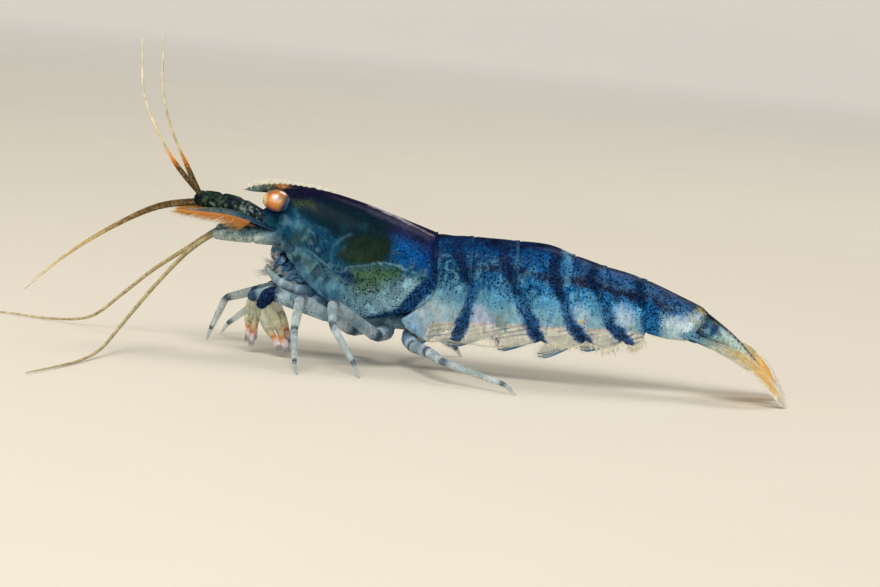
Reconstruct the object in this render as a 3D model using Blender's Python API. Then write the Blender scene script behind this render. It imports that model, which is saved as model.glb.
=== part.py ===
"""A dwarf shrimp (Caridina) standing on a level floor: a still model at life size.

Every size and place below is in millimetres, and becomes metres where a mesh is made.
The head points to -X, the left side of the body to -Y, the back to +Z, and the floor is Z = 0.
"""

import math

import bmesh
import bpy
from mathutils import Vector

MM = 0.001
GAP = 0.06  # clearance between neighbouring pieces
PLATE = 0.5  # least thickness of a flap, fin or feeler
FEELER_RADIUS = PLATE / 2
SIDES = {"left": -1, "right": 1}

# The trunk: seam number, dorsal point (x, z), flank point (x, z) at the widest level, half width.
# Seam 0 is the carapace's front edge, 1 its hind edge, and 2 to 7 the hind edges of pleon segments 1 to 6.
TRUNK = (
    (0.00, (-8.80, 8.22), (-8.95, 6.75), 1.15),
    (0.25, (-7.10, 8.33), (-7.25, 5.95), 1.75),
    (0.50, (-5.05, 7.95), (-5.20, 5.35), 2.10),
    (0.75, (-3.00, 7.38), (-2.95, 4.98), 2.20),
    (1.00, (-1.02, 6.80), (-0.84, 4.80), 2.12),
    (2.00, (0.72, 6.78), (0.86, 4.50), 2.05),
    (3.00, (3.03, 6.80), (3.22, 4.50), 1.98),
    (3.55, (4.65, 6.76), (4.62, 4.44), 1.93),
    (4.00, (5.89, 6.40), (5.68, 4.32), 1.82),
    (5.00, (7.49, 5.99), (7.28, 4.28), 1.60),
    (6.00, (9.54, 5.54), (9.36, 3.98), 1.32),
    (7.00, (12.85, 4.34), (12.40, 3.45), 0.85),
)

# Each plate: name, first and last seam, its lower margin as (seam, (x, z)), where its belly
# crosses between the flaps (a share of the way from flank to margin), and its stations.
PLATES = (
    ("carapace", 0, 1, ((0, (-8.45, 5.05)), (0.25, (-7.15, 3.75)), (0.5, (-5.60, 2.80)),
                        (0.75, (-4.00, 2.40)), (1, (-2.25, 2.80))), 0.90, 11),
    ("pleon_segment_1", 1, 2, ((1, (-1.85, 2.20)), (1.5, (-0.95, 1.55)), (2, (-0.05, 1.80))), 0.60, 4),
    ("pleon_segment_2", 2, 3, ((2, (-0.05, 1.75)), (2.5, (2.30, 1.42)), (3, (4.60, 1.95))), 0.58, 6),
    ("pleon_segment_3", 3, 4, ((3, (4.65, 2.00)), (3.5, (5.85, 1.68)), (4, (6.90, 2.20))), 0.56, 5),
    ("pleon_segment_4", 4, 5, ((4, (6.95, 2.25)), (4.5, (7.95, 1.98)), (5, (8.75, 2.50))), 0.58, 4),
    ("pleon_segment_5", 5, 6, ((5, (8.80, 2.50)), (5.5, (9.35, 2.35)), (6, (9.80, 2.95))), 0.66, 4),
    ("pleon_segment_6", 6, 7, ((6, (9.80, 3.00)), (6.5, (10.85, 2.82)), (7, (11.95, 2.78))), 0.92, 5),
)
ARCH_LEVELS = 7  # rows of points from the back down to the flank
FLAP_LEVELS = 5  # rows of points from the flank down to the margin
ARCH_POWER = 2.3  # 2 would be an ellipse; more is boxier
FLAP_LEAN = 0.16  # share of the half width by which the margin leans in

# Where things rest: the tips of the walking legs and of the outer tail blades are cut off flat.
FLOOR_DEPTH = 2.0

# Walking legs: coxa, end of ischium, knee, end of carpus, end of propodus, foot.
WALKING_LEGS = {
    "walking_leg_3_left": ((-4.1, -0.75, 1.92), (-4.7, -2.00, 1.72), (-7.35, -4.00, 3.25),
                           (-7.45, -5.50, 1.85), (-7.20, -7.60, 0.55), (-7.02, -8.00, -0.10)),
    "walking_leg_4_left": ((-3.0, -0.75, 1.72), (-3.5, -2.00, 1.55), (-5.76, -3.70, 3.15),
                           (-5.64, -4.80, 2.20), (-4.35, -6.50, 0.60), (-4.05, -6.95, -0.10)),
    "walking_leg_5_left": ((-1.9, -0.75, 1.48), (-1.6, -2.00, 1.20), (-0.85, -4.40, 1.30),
                           (-0.10, -5.60, 1.05), (2.95, -7.05, 0.45), (3.60, -7.30, -0.10)),
    "walking_leg_3_right": ((-4.15, 0.75, 1.95), (-5.1, 2.40, 1.95), (-9.05, 2.90, 2.95),
                            (-11.35, 2.35, 2.20), (-11.95, 1.95, 0.60), (-12.10, 1.85, -0.10)),
    "walking_leg_4_right": ((-3.0, 0.75, 1.72), (-3.5, 2.40, 1.50), (-7.00, 4.20, 3.05),
                            (-9.60, 4.80, 2.15), (-11.30, 5.45, 0.55), (-11.62, 5.60, -0.10)),
    "walking_leg_5_right": ((-1.9, 0.75, 1.48), (-1.6, 2.00, 1.20), (-1.30, 3.80, 1.75),
                            (-0.80, 4.60, 1.25), (0.55, 5.55, 0.45), (0.85, 5.80, -0.10)),
}
WALKING_LEG_RADII = (0.47, 0.37, 0.34, 0.30, 0.26, 0.25)

# Claw legs, drawn for the left and mirrored: coxa, end of ischium, knee, wrist; then the claw's tip.
CLAW_ARMS = {
    1: ((-6.30, -0.70, 2.95), (-7.10, -1.05, 2.55), (-8.85, -1.08, 3.05), (-9.80, -1.10, 2.80)),
    2: ((-5.30, -0.75, 2.40), (-5.95, -1.60, 2.25), (-8.95, -1.85, 3.15), (-9.28, -1.90, 2.55)),
}
CLAW_TIPS = {1: (-9.78, -1.30, 0.36), 2: (-7.90, -2.05, 0.22)}
CLAW_ARM_RADII = (0.40, 0.32, 0.36, 0.32)
CLAW_HALF_WIDTH = 0.44
CLAW_HALF_DEPTH = 0.29
CLAW_CLEFT = 0.16  # width of the gap between the fingers at their tips

# The third maxillipeds, held forward under the head, drawn for the left.
MAXILLIPED = ((-6.90, -0.45, 3.25), (-7.90, -0.50, 3.35), (-8.70, -0.52, 3.62), (-9.30, -0.45, 4.20))
MAXILLIPED_RADII = (0.30, 0.28, 0.26, 0.25)

# Feelers. The antennules' flagella start at the end of a three-jointed base.
ANTENNULE_BASE = ((-9.30, 0.50, 6.32), (-10.90, 0.50, 7.06), (-11.95, 0.50, 7.22), (-12.90, 0.50, 7.30))
ANTENNULE_RADII = (0.36, 0.40, 0.42, 0.40)
ANTENNULE_OUTER = {  # the thick upright one of each pair
    "left": ((-13.02, -0.55, 7.58), (-13.75, -0.75, 8.95), (-14.65, -1.15, 10.70),
             (-15.22, -1.60, 12.75), (-15.35, -2.00, 15.55)),
    "right": ((-13.05, 0.55, 7.48), (-14.40, 0.90, 8.80), (-15.62, 1.45, 10.50),
              (-16.45, 2.00, 12.20), (-16.80, 2.45, 14.75)),
}
ANTENNULE_INNER = {  # the thin one that reaches forward
    "left": ((-13.20, -0.45, 7.02), (-15.00, -0.80, 6.65), (-17.00, -1.30, 5.55),
             (-19.10, -1.90, 4.00), (-21.00, -2.50, 2.15)),
    "right": ((-13.20, 0.45, 7.08), (-15.00, 0.90, 6.70), (-17.10, 1.50, 5.50),
              (-19.30, 2.20, 3.85), (-21.30, 2.90, 2.00)),
}
ANTENNA_BASE = ((-8.90, 0.95, 5.80), (-10.10, 1.15, 5.86), (-11.85, 1.25, 5.74))
ANTENNA_BASE_RADII = (0.38, 0.40, 0.36)
ANTENNA = {  # each comes down to the floor and lies along it
    "left": ((-12.20, -1.35, 5.60), (-13.30, -2.30, 4.65), (-14.60, -4.00, 3.00), (-15.70, -6.20, 1.40),
             (-16.40, -8.90, 0.42), (-17.05, -11.60, 0.27), (-17.90, -14.60, 0.27), (-18.90, -17.50, 0.27)),
    "right": ((-12.20, 1.35, 5.60), (-13.45, 1.60, 4.62), (-15.15, 1.95, 3.25), (-16.60, 2.25, 1.85),
              (-18.05, 2.60, 0.62), (-19.90, 3.10, 0.27), (-22.60, 3.90, 0.27), (-25.80, 4.30, 0.27)),
}
MIDDLE = (-4.28, -5.78)  # the middle of the footprint of the whole animal, feelers and all

# The antennal scale: root, bend and tip of its middle line, drawn for the left.
SCALE_LINE = ((-9.10, -1.00, 6.20), (-11.20, -1.35, 6.85), (-13.55, -1.15, 6.82))
SCALE_HALF_WIDTH = 0.60

EYE_CENTRE = (-9.22, 1.38, 7.74)
EYE_RADIUS = 0.60
EYESTALK = ((-8.75, 0.35, 7.20), (-8.95, 0.80, 7.45), (-9.22, 1.38, 7.74))
EYESTALK_RADII = (0.38, 0.36, 0.44)

ROSTRUM_LINE = ((-8.40, 0.0, 8.00), (-9.60, 0.0, 8.12), (-10.78, 0.0, 7.96))
ROSTRUM_HALF_WIDTHS = (0.34, 0.26, 0.18)
ROSTRUM_HALF_HEIGHTS = (0.30, 0.24, 0.10)

# The swimmerets, in pairs from front to back: where each is rooted, then a paddle laid forward.
PLEOPOD_X = (-0.35, 2.05, 4.55, 6.60, 8.30)
PLEOPOD_Z = (2.66, 2.58, 2.66, 2.74, 2.78)  # just under the belly
PLEOPOD_TIP_DROP = (1.21, 1.05, 1.06, 1.26, 0.83)
PLEOPOD_REACH = (1.05, 1.60, 1.60, 1.60, 1.30)  # how far forward each paddle lies
PLEOPOD_Y = 0.64
PLEOPOD_HALF_WIDTH = 0.42

# The tail fan.
TELSON_LINE = ((12.45, 0.0, 3.98), (14.10, 0.0, 2.95), (15.50, 0.0, 1.72))
TELSON_HALF_WIDTHS = (0.72, 0.58, 0.26)
TELSON_HALF_HEIGHTS = (0.42, 0.32, 0.25)
OUTER_BLADE = {  # root, bend, tip and tilt in degrees (outer edge down is negative)
    "left": ((11.60, -0.55, 3.10), (14.90, -1.75, 2.05), (17.10, -1.45, 0.02), -10.0),
    "right": ((11.60, 0.55, 3.05), (15.25, 1.65, 2.05), (17.08, 1.50, 0.14), 32.0),
}
INNER_BLADE = {
    "left": ((11.60, -0.45, 2.95), (14.40, -0.62, 1.95), (16.75, -0.55, 0.62), -8.0),
    "right": ((11.60, 0.45, 2.95), (14.40, 0.62, 1.95), (16.75, 0.55, 0.62), 8.0),
}
OUTER_BLADE_HALF_WIDTH = 0.78
INNER_BLADE_HALF_WIDTH = 0.46

COLOURS = {  # colour, roughness, metallic value
    "shell": ((0.03, 0.11, 0.27), 0.30, 0.0),
    "limb": ((0.33, 0.43, 0.46), 0.38, 0.0),
    "claw": ((0.52, 0.54, 0.40), 0.40, 0.0),
    "feeler": ((0.52, 0.42, 0.22), 0.42, 0.0),
    "eye": ((0.85, 0.38, 0.08), 0.12, 0.0),
    "fin": ((0.62, 0.55, 0.36), 0.40, 0.0),
}


def clear_scene():
    for thing in list(bpy.data.objects):
        bpy.data.objects.remove(thing, do_unlink=True)


def new_collection(name):
    made = bpy.data.collections.new(name)
    bpy.context.scene.collection.children.link(made)
    return made


def new_material(name, colour, roughness, metallic):
    made = bpy.data.materials.new(name)
    made.use_nodes = True
    shader = made.node_tree.nodes["Principled BSDF"]
    shader.inputs["Base Color"].default_value = (*colour, 1.0)
    shader.inputs["Roughness"].default_value = roughness
    shader.inputs["Metallic"].default_value = metallic
    made.diffuse_color = (*colour, 1.0)
    return made


def mirrored(points, side):
    """Points drawn for the left side, or for +Y, set to the side that is asked for."""
    return [Vector((x, abs(y) * SIDES[side], z)) for x, y, z in points]


def knots_at(knots, s):
    """A smooth curve through (place, values) knots, read at s: cubic, with chords for tangents."""
    places = [k[0] for k in knots]
    last = len(knots) - 1
    i = max(j for j in range(last) if places[j] <= s or j == 0)

    def tangent(j):
        low, high = max(j - 1, 0), min(j + 1, last)
        return (Vector(knots[high][1]) - Vector(knots[low][1])) / (places[high] - places[low])

    width = places[i + 1] - places[i]
    u = (s - places[i]) / width
    start, end = Vector(knots[i][1]), Vector(knots[i + 1][1])
    return (
        start * (1 + 2 * u) * (1 - u) ** 2
        + end * u * u * (3 - 2 * u)
        + tangent(i) * width * u * (1 - u) ** 2
        - tangent(i + 1) * width * u * u * (1 - u)
    )


def smooth_line(points, count):
    """count points along a smooth curve through the given ones."""
    knots = [(float(i), tuple(p)) for i, p in enumerate(points)]
    return [knots_at(knots, (len(points) - 1) * i / (count - 1)) for i in range(count)]


def smooth_values(values, count):
    return [v[0] for v in smooth_line([(v, 0.0) for v in values], count)]


def add_object(name, mesh, material, smooth=True):
    mesh.materials.append(MATERIALS[material])
    if smooth:
        mesh.shade_smooth()
        mesh.set_sharp_from_angle(angle=math.radians(40))
    made = bpy.data.objects.new(name, mesh)
    SHRIMP.objects.link(made)
    made.parent = FRAME
    return made


def mesh_from(name, points, faces):
    mesh = bpy.data.meshes.new(name)
    mesh.from_pydata([Vector(p) * MM for p in points], [], faces)
    shape = bmesh.new()
    shape.from_mesh(mesh)
    if shape.calc_volume(signed=True) < 0:
        bmesh.ops.reverse_faces(shape, faces=shape.faces)
    shape.to_mesh(mesh)
    shape.free()
    return mesh


# ---- the trunk -------------------------------------------------------------------------------


def trunk_row(plate, s, level):
    """(x, z, half width) of the outer surface at seam place s. Level 0 is the back, 1 the flank
    and 2 the lower margin."""
    dorsal = knots_at([(row[0], row[1]) for row in TRUNK], s)
    flank = knots_at([(row[0], row[2]) for row in TRUNK], s)
    half_width = knots_at([(row[0], (row[3], 0.0)) for row in TRUNK], s)[0]
    if level <= 1:
        angle = level * math.pi / 2
        rise = math.cos(angle) ** (2 / ARCH_POWER) if level < 1 else 0.0
        place = flank + (dorsal - flank) * rise
        return place.x, place.y, half_width * math.sin(angle) ** (2 / ARCH_POWER)
    margin = knots_at(plate[3], s)
    down = level - 1
    bend = flank + (flank - dorsal).normalized() * (margin - flank).length / 2
    place = flank * (1 - down) ** 2 + bend * 2 * down * (1 - down) + margin * down * down
    return place.x, place.y, half_width * (1 - FLAP_LEAN * down * down)


def plate_levels(belly):
    arch = [i / ARCH_LEVELS for i in range(1, ARCH_LEVELS)]
    rows = [i / (FLAP_LEVELS - 1) for i in range(FLAP_LEVELS)]
    nearest = min(range(1, FLAP_LEVELS - 1), key=lambda i: abs(rows[i] - belly))
    rows[nearest] = belly
    return arch + [1 + r for r in rows], len(arch) + nearest


def trunk_plate(plate):
    """One ring of the armour as a solid: an arch over the back, two flaps, and a belly between."""
    name, first, last, _, belly, stations = plate
    levels, belly_row = plate_levels(belly)
    rows = len(levels)
    inner = list(range(rows - 1, belly_row - 1, -1))
    start = knots_at([(row[0], row[1]) for row in TRUNK], first)
    end = knots_at([(row[0], row[1]) for row in TRUNK], last)
    trim = GAP / 2 * (last - first) / (end - start).length
    points, faces = [], []
    for j in range(stations):
        s = first + trim + (last - first - 2 * trim) * j / (stations - 1)
        top = trunk_row(plate, s, 0)
        side = [trunk_row(plate, s, level) for level in levels]
        points.append((top[0], 0.0, top[1]))
        points += [(x, -y, z) for x, z, y in side]
        points += [(side[i][0], -side[i][2] + PLATE, side[i][1]) for i in inner]
        points += [(side[i][0], side[i][2] - PLATE, side[i][1]) for i in reversed(inner)]
        points += [(x, y, z) for x, z, y in reversed(side)]
    ring = len(points) // stations
    for j in range(stations - 1):
        a, b = j * ring, (j + 1) * ring
        for i in range(ring):
            k = (i + 1) % ring
            faces.append((a + i, a + k, b + k, b + i))
    faces += [face[::-1] for face in end_cap(0, ring, rows, belly_row)]
    faces += end_cap((stations - 1) * ring, ring, rows, belly_row)
    return add_object(name, mesh_from(name, points, faces), "shell")


def end_cap(base, ring, rows, belly_row):
    """The flat strips that close a plate's end, level by level, so that facing ends match."""

    def left(i):
        return base + 1 + i

    def right(i):
        return base + ring - 1 - i

    def left_inner(i):
        return base + 1 + rows + (rows - 1 - i)

    def right_inner(i):
        return base + ring - 1 - rows - (rows - 1 - i)

    faces = [(base, left(0), right(0))]
    for i in range(belly_row - 1):
        faces.append((left(i), left(i + 1), right(i + 1), right(i)))
    top, low = belly_row - 1, belly_row
    faces.append((left(top), left(low), left_inner(low), right_inner(low), right(low), right(top)))
    for i in range(belly_row, rows - 1):
        faces.append((left(i), left(i + 1), left_inner(i + 1), left_inner(i)))
        faces.append((right(i), right_inner(i), right_inner(i + 1), right(i + 1)))
    return faces


# ---- limbs, blades and feelers ------------------------------------------------------------------


def sweep(name, line, half_widths, half_heights, material, side=(0, 1, 0), sides=6):
    """An oval rod along a line. side is the direction of the widths at the line's start."""
    count = len(line)
    points, faces = [], []
    across = Vector(side)
    for i, place in enumerate(line):
        ahead = (line[min(i + 1, count - 1)] - place).normalized()
        behind = (place - line[max(i - 1, 0)]).normalized()
        along = (ahead + behind).normalized()
        across = (across - along * across.dot(along)).normalized()
        up = along.cross(across)
        for k in range(sides):
            angle = 2 * math.pi * (k + 0.5) / sides
            points.append(
                place
                + across * half_widths[i] * math.cos(angle)
                + up * half_heights[i] * math.sin(angle)
            )
    for i in range(count - 1):
        for k in range(sides):
            n = (k + 1) % sides
            a, b = i * sides, (i + 1) * sides
            faces.append((a + k, a + n, b + n, b + k))
    faces.append(tuple(reversed(range(sides))))
    faces.append(tuple(range((count - 1) * sides, count * sides)))
    return add_object(name, mesh_from(name, points, faces), material)


def limb(name, joints, radii, material, sides=6):
    """A jointed leg: each length swells a little in its middle and narrows at its joints."""
    joints = [Vector(j) for j in joints]
    line, widths = [joints[0]], [radii[0]]
    for a, b, ra, rb in zip(joints, joints[1:], radii, radii[1:]):
        length = (b - a).length
        near = min(1.1 * ra / length, 0.3)
        far = 1 - min(1.1 * rb / length, 0.3)
        for share, swell in ((near, 1.05), (far, 1.02)):
            line.append(a.lerp(b, share))
            widths.append((ra + (rb - ra) * share) * swell)
        line.append(b)
        widths.append(rb * 0.98)
    return sweep(name, line, widths, widths, material, sides=sides)


def leaf(share):
    """Half width of a blade along its length, as a share of the widest."""
    return math.sin(math.pi * (0.13 + 0.80 * share)) ** 0.65


def blade(name, root, bend, tip, half_width, material, tilt=0.0, side=-1, rings=7):
    """A leaf-shaped plate. tilt turns its outer edge up, in degrees."""
    line = smooth_line((root, bend, tip), rings)
    widths = [half_width * leaf(i / (rings - 1)) for i in range(rings)]
    angle = math.radians(tilt)
    across = (0, side * math.cos(angle), math.sin(angle))
    return sweep(name, line, widths, [PLATE / 2] * rings, material, side=across, sides=8)


def feeler(name, points, count):
    """A whip as a bevelled curve, read from a smooth curve through its own points."""
    data = bpy.data.curves.new(name, "CURVE")
    data.dimensions = "3D"
    data.bevel_depth = FEELER_RADIUS * MM
    data.bevel_resolution = 1
    data.use_fill_caps = True
    spline = data.splines.new("POLY")
    line = smooth_line(points, count)
    spline.points.add(count - 1)
    for point, place in zip(spline.points, line):
        point.co = (*(place * MM), 1.0)
    data.materials.append(MATERIALS["feeler"])
    made = bpy.data.objects.new(name, data)
    SHRIMP.objects.link(made)
    made.parent = FRAME
    return made


# ---- fitting pieces to each other ---------------------------------------------------------------


def swollen(host):
    """A hidden copy of a piece, one gap larger all round, that cuts its neighbours."""
    name = "cut_" + host.name
    if name in bpy.data.objects:
        return bpy.data.objects[name]
    mesh = host.data.copy()
    shape = bmesh.new()
    shape.from_mesh(mesh)
    shape.normal_update()
    for vertex, normal in [(v, v.normal.copy()) for v in shape.verts]:
        vertex.co += normal * min(vertex.calc_shell_factor(), 2.0) * GAP * MM
    shape.to_mesh(mesh)
    shape.free()
    made = bpy.data.objects.new(name, mesh)
    CUTTERS.objects.link(made)
    made.parent = FRAME
    made.hide_render = True
    made.display_type = "WIRE"
    return made


def cut(piece, cutter):
    modifier = piece.modifiers.new("seat on " + cutter.name, "BOOLEAN")
    modifier.operation = "DIFFERENCE"
    modifier.solver = "EXACT"
    modifier.object = cutter


def seat(piece, *hosts):
    """Trims piece so that it meets each host across one gap."""
    for host in hosts:
        cut(piece, swollen(host))
    return piece


def floor_cutter():
    """What lies under the floor, so that whatever stands on it gets a small flat."""
    shape = bmesh.new()
    bmesh.ops.create_cube(shape, size=1.0)
    bmesh.ops.scale(shape, vec=(0.08, 0.06, FLOOR_DEPTH * MM), verts=shape.verts)
    bmesh.ops.translate(shape, vec=(0, 0, -FLOOR_DEPTH * MM / 2), verts=shape.verts)
    mesh = bpy.data.meshes.new("cut_floor")
    shape.to_mesh(mesh)
    shape.free()
    made = bpy.data.objects.new("cut_floor", mesh)
    CUTTERS.objects.link(made)
    made.hide_render = True
    made.display_type = "WIRE"
    return made


# ---- the parts of the animal --------------------------------------------------------------------


def make_head(carapace):
    """The front of the head, which bears eyes and feelers, and the mouthparts under it."""
    line = smooth_line(((-8.0, 0, 6.30), (-9.2, 0, 6.30), (-9.95, 0, 6.25)), 6)
    head = sweep("head", line, (1.0, 1.0, 1.05, 1.0, 0.85, 0.55), (1.1, 1.1, 1.05, 0.95, 0.80, 0.50),
                 "shell", sides=10)
    seat(head, carapace)
    line = smooth_line(((-6.9, 0, 4.20), (-8.0, 0, 4.10), (-9.0, 0, 4.32)), 6)
    mouth = sweep("mouthparts", line, (0.80, 0.85, 0.85, 0.80, 0.65, 0.40),
                  (0.70, 0.80, 0.80, 0.70, 0.52, 0.30), "limb", sides=10)
    seat(mouth, carapace, head)
    line = smooth_line(((-7.3, 0, 3.45), (-5.2, 0, 2.55), (-3.2, 0, 2.32), (-1.6, 0, 2.35)), 9)
    sternum = sweep("thorax_underside", line, (0.60, 0.95, 1.10, 1.20, 1.25, 1.25, 1.20, 1.05, 0.70),
                    (0.35, 0.52, 0.58, 0.60, 0.60, 0.60, 0.58, 0.52, 0.35), "shell", sides=10)
    seat(sternum, carapace, bpy.data.objects["pleon_segment_1"], mouth)
    return head, mouth, sternum


def make_rostrum(carapace, head):
    line = smooth_line(ROSTRUM_LINE, 8)
    rostrum = sweep("rostrum", line, smooth_values(ROSTRUM_HALF_WIDTHS, 8),
                    smooth_values(ROSTRUM_HALF_HEIGHTS, 8), "shell", sides=8)
    return seat(rostrum, carapace, head)


def make_eye(side, carapace, head, rostrum):
    shape = bmesh.new()
    bmesh.ops.create_uvsphere(shape, u_segments=12, v_segments=8, radius=EYE_RADIUS * MM)
    mesh = bpy.data.meshes.new("eye_" + side)
    shape.to_mesh(mesh)
    shape.free()
    eye = add_object("eye_" + side, mesh, "eye")
    eye.location = mirrored([EYE_CENTRE], side)[0] * MM
    seat(eye, carapace, rostrum)
    ball = swollen(eye)
    ball.location = eye.location
    stalk = sweep("eyestalk_" + side, mirrored(EYESTALK, side), EYESTALK_RADII, EYESTALK_RADII, "shell",
                  side=(0, 0, 1))
    seat(stalk, carapace, head, rostrum, eye)


def make_feelers(side, head, carapace):
    """Antennule, antennal scale and antenna of one side."""
    base = limb("antennule_" + side, mirrored(ANTENNULE_BASE, side), ANTENNULE_RADII, "limb", sides=8)
    seat(base, head)
    feeler("antennule_outer_" + side, ANTENNULE_OUTER[side], 11)
    feeler("antennule_inner_" + side, ANTENNULE_INNER[side], 11)
    scale = blade("antennal_scale_" + side, *mirrored(SCALE_LINE, side), SCALE_HALF_WIDTH, "shell",
                  tilt=-8.0, side=SIDES[side])
    seat(scale, base, carapace, head)
    stem = limb("antenna_base_" + side, mirrored(ANTENNA_BASE, side), ANTENNA_BASE_RADII, "limb", sides=8)
    seat(stem, head, carapace, scale)
    feeler("antenna_" + side, ANTENNA[side], 21)


def make_claw(number, side, arm):
    """A claw with two fingers: a flattened leaf, split from its tip by a wedge."""
    wrist, tip = mirrored([CLAW_ARMS[number][-1], CLAW_TIPS[number]], side)
    along = (tip - wrist).normalized()
    line = [wrist.lerp(tip, share) for share in (0.0, 0.10, 0.26, 0.45, 0.65, 0.84, 0.95, 1.0)]
    shape = (0.45, 0.72, 0.96, 1.0, 0.96, 0.92, 0.84, 0.62)
    claw = sweep(f"claw_{number}_{side}", line, [CLAW_HALF_WIDTH * w for w in shape],
                 [CLAW_HALF_DEPTH * (0.4 + 0.6 * w) for w in shape], "claw", side=(1, 0, 0), sides=8)
    across = Vector((1, 0, 0))
    across = (across - along * across.dot(along)).normalized()
    through = along.cross(across)
    root, end = wrist.lerp(tip, 0.52), tip + along
    corners = [root, end - across * CLAW_CLEFT, end + across * CLAW_CLEFT]
    points = [c + through * reach for reach in (-1.0, 1.0) for c in corners]
    faces = [(0, 1, 2), (3, 5, 4), (0, 3, 4, 1), (1, 4, 5, 2), (2, 5, 3, 0)]
    name = f"cut_cleft_{number}_{side}"
    cleft = bpy.data.objects.new(name, mesh_from(name, points, faces))
    CUTTERS.objects.link(cleft)
    cleft.parent = FRAME
    cleft.hide_render = True
    cleft.display_type = "WIRE"
    cut(claw, cleft)
    return seat(claw, arm)


def make_legs(sternum, carapace, mouth, floor):
    for side in SIDES:
        jaw = limb("maxilliped_" + side, mirrored(MAXILLIPED, side), MAXILLIPED_RADII, "limb")
        seat(jaw, sternum, mouth, carapace)
        for number, joints in CLAW_ARMS.items():
            arm = limb(f"claw_leg_{number}_{side}", mirrored(joints, side), CLAW_ARM_RADII, "limb")
            seat(arm, sternum, carapace, jaw)
            make_claw(number, side, arm)
    for name, joints in WALKING_LEGS.items():
        leg = limb(name, joints, WALKING_LEG_RADII, "limb")
        seat(leg, sternum, carapace, bpy.data.objects["pleon_segment_1"])
        cut(leg, floor)


def make_pleopods():
    for number, (x, z, drop, reach) in enumerate(zip(PLEOPOD_X, PLEOPOD_Z, PLEOPOD_TIP_DROP, PLEOPOD_REACH)):
        for side, sign in SIDES.items():
            y = PLEOPOD_Y * sign
            line = smooth_line(((x, y, z), (x, y, z - 0.40), (x - reach * 0.45, y, z - drop * 0.86),
                                (x - reach, y, z - drop)), 7)
            widths = [PLEOPOD_HALF_WIDTH * w for w in (0.75, 0.85, 0.80, 0.95, 1.0, 0.80, 0.35)]
            sweep(f"pleopod_{number + 1}_{side}", line, [PLATE / 2] * 7, widths, "fin")


def make_tail(floor):
    last = bpy.data.objects["pleon_segment_6"]
    line = smooth_line(TELSON_LINE, 8)
    telson = sweep("telson", line, smooth_values(TELSON_HALF_WIDTHS, 8), smooth_values(TELSON_HALF_HEIGHTS, 8),
                   "shell", sides=10)
    seat(telson, last)
    for side, sign in SIDES.items():
        *line, tilt = OUTER_BLADE[side]
        outer = blade("uropod_outer_" + side, *line, OUTER_BLADE_HALF_WIDTH, "fin", tilt=tilt, side=sign, rings=8)
        seat(outer, last, telson)
        cut(outer, floor)
        *line, tilt = INNER_BLADE[side]
        inner = blade("uropod_inner_" + side, *line, INNER_BLADE_HALF_WIDTH, "fin", tilt=tilt, side=sign, rings=7)
        seat(inner, outer, telson, last)


def main():
    for plate in PLATES:
        trunk_plate(plate)
    carapace = bpy.data.objects["carapace"]
    floor = floor_cutter()
    head, mouth, sternum = make_head(carapace)
    rostrum = make_rostrum(carapace, head)
    for side in SIDES:
        make_eye(side, carapace, head, rostrum)
        make_feelers(side, head, carapace)
    make_legs(sternum, carapace, mouth, floor)
    make_pleopods()
    make_tail(floor)


clear_scene()
MATERIALS = {name: new_material(name, *look) for name, look in COLOURS.items()}
SHRIMP = new_collection("shrimp")
CUTTERS = new_collection("cutters")
FRAME = bpy.data.objects.new("middle_of_footprint", None)
SHRIMP.objects.link(FRAME)
FRAME.location = (-MIDDLE[0] * MM, -MIDDLE[1] * MM, 0.0)
main()
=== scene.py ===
"""The looks of a dwarf freshwater shrimp (Caridina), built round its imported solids.

Sizes and places are in millimetres, in the solids' own design coordinates: the head points to -X,
the left side to -Y, and the floor is Z = 0. They become metres in the row frame in placed().
Colours are display colours of 0 to 255, made linear where they are laid on. Every piece carries its
colours as attributes that its material reads: Paint is the ground colour, Spots how thickly pigment
dots lie on it, and Solid how much of what is behind it it hides.
"""

import math

import bpy
import numpy as np
from mathutils import Matrix, Vector


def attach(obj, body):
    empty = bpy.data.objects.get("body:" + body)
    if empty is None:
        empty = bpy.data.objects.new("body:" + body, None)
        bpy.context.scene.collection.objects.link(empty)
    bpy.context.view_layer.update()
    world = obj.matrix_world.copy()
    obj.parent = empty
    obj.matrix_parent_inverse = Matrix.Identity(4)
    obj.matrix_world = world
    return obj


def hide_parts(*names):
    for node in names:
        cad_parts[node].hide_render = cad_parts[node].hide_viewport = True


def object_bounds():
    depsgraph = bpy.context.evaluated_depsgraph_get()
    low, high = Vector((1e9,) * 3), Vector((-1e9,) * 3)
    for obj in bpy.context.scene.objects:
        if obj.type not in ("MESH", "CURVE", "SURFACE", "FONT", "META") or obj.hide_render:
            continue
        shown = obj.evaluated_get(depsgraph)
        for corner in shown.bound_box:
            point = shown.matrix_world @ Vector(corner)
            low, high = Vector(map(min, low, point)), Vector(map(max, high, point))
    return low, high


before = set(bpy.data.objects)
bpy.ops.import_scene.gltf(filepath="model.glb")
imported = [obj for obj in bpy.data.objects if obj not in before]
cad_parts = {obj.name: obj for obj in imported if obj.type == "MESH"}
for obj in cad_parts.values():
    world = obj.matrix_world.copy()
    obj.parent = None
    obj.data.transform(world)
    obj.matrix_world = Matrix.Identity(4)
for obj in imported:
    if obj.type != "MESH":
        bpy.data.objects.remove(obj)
CAD_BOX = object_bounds()

MM = 0.001
MIDDLE = np.array((-4.28, -5.78, 0.0))  # the middle of the whole animal's footprint
SIDES = {"left": -1, "right": 1}

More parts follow.
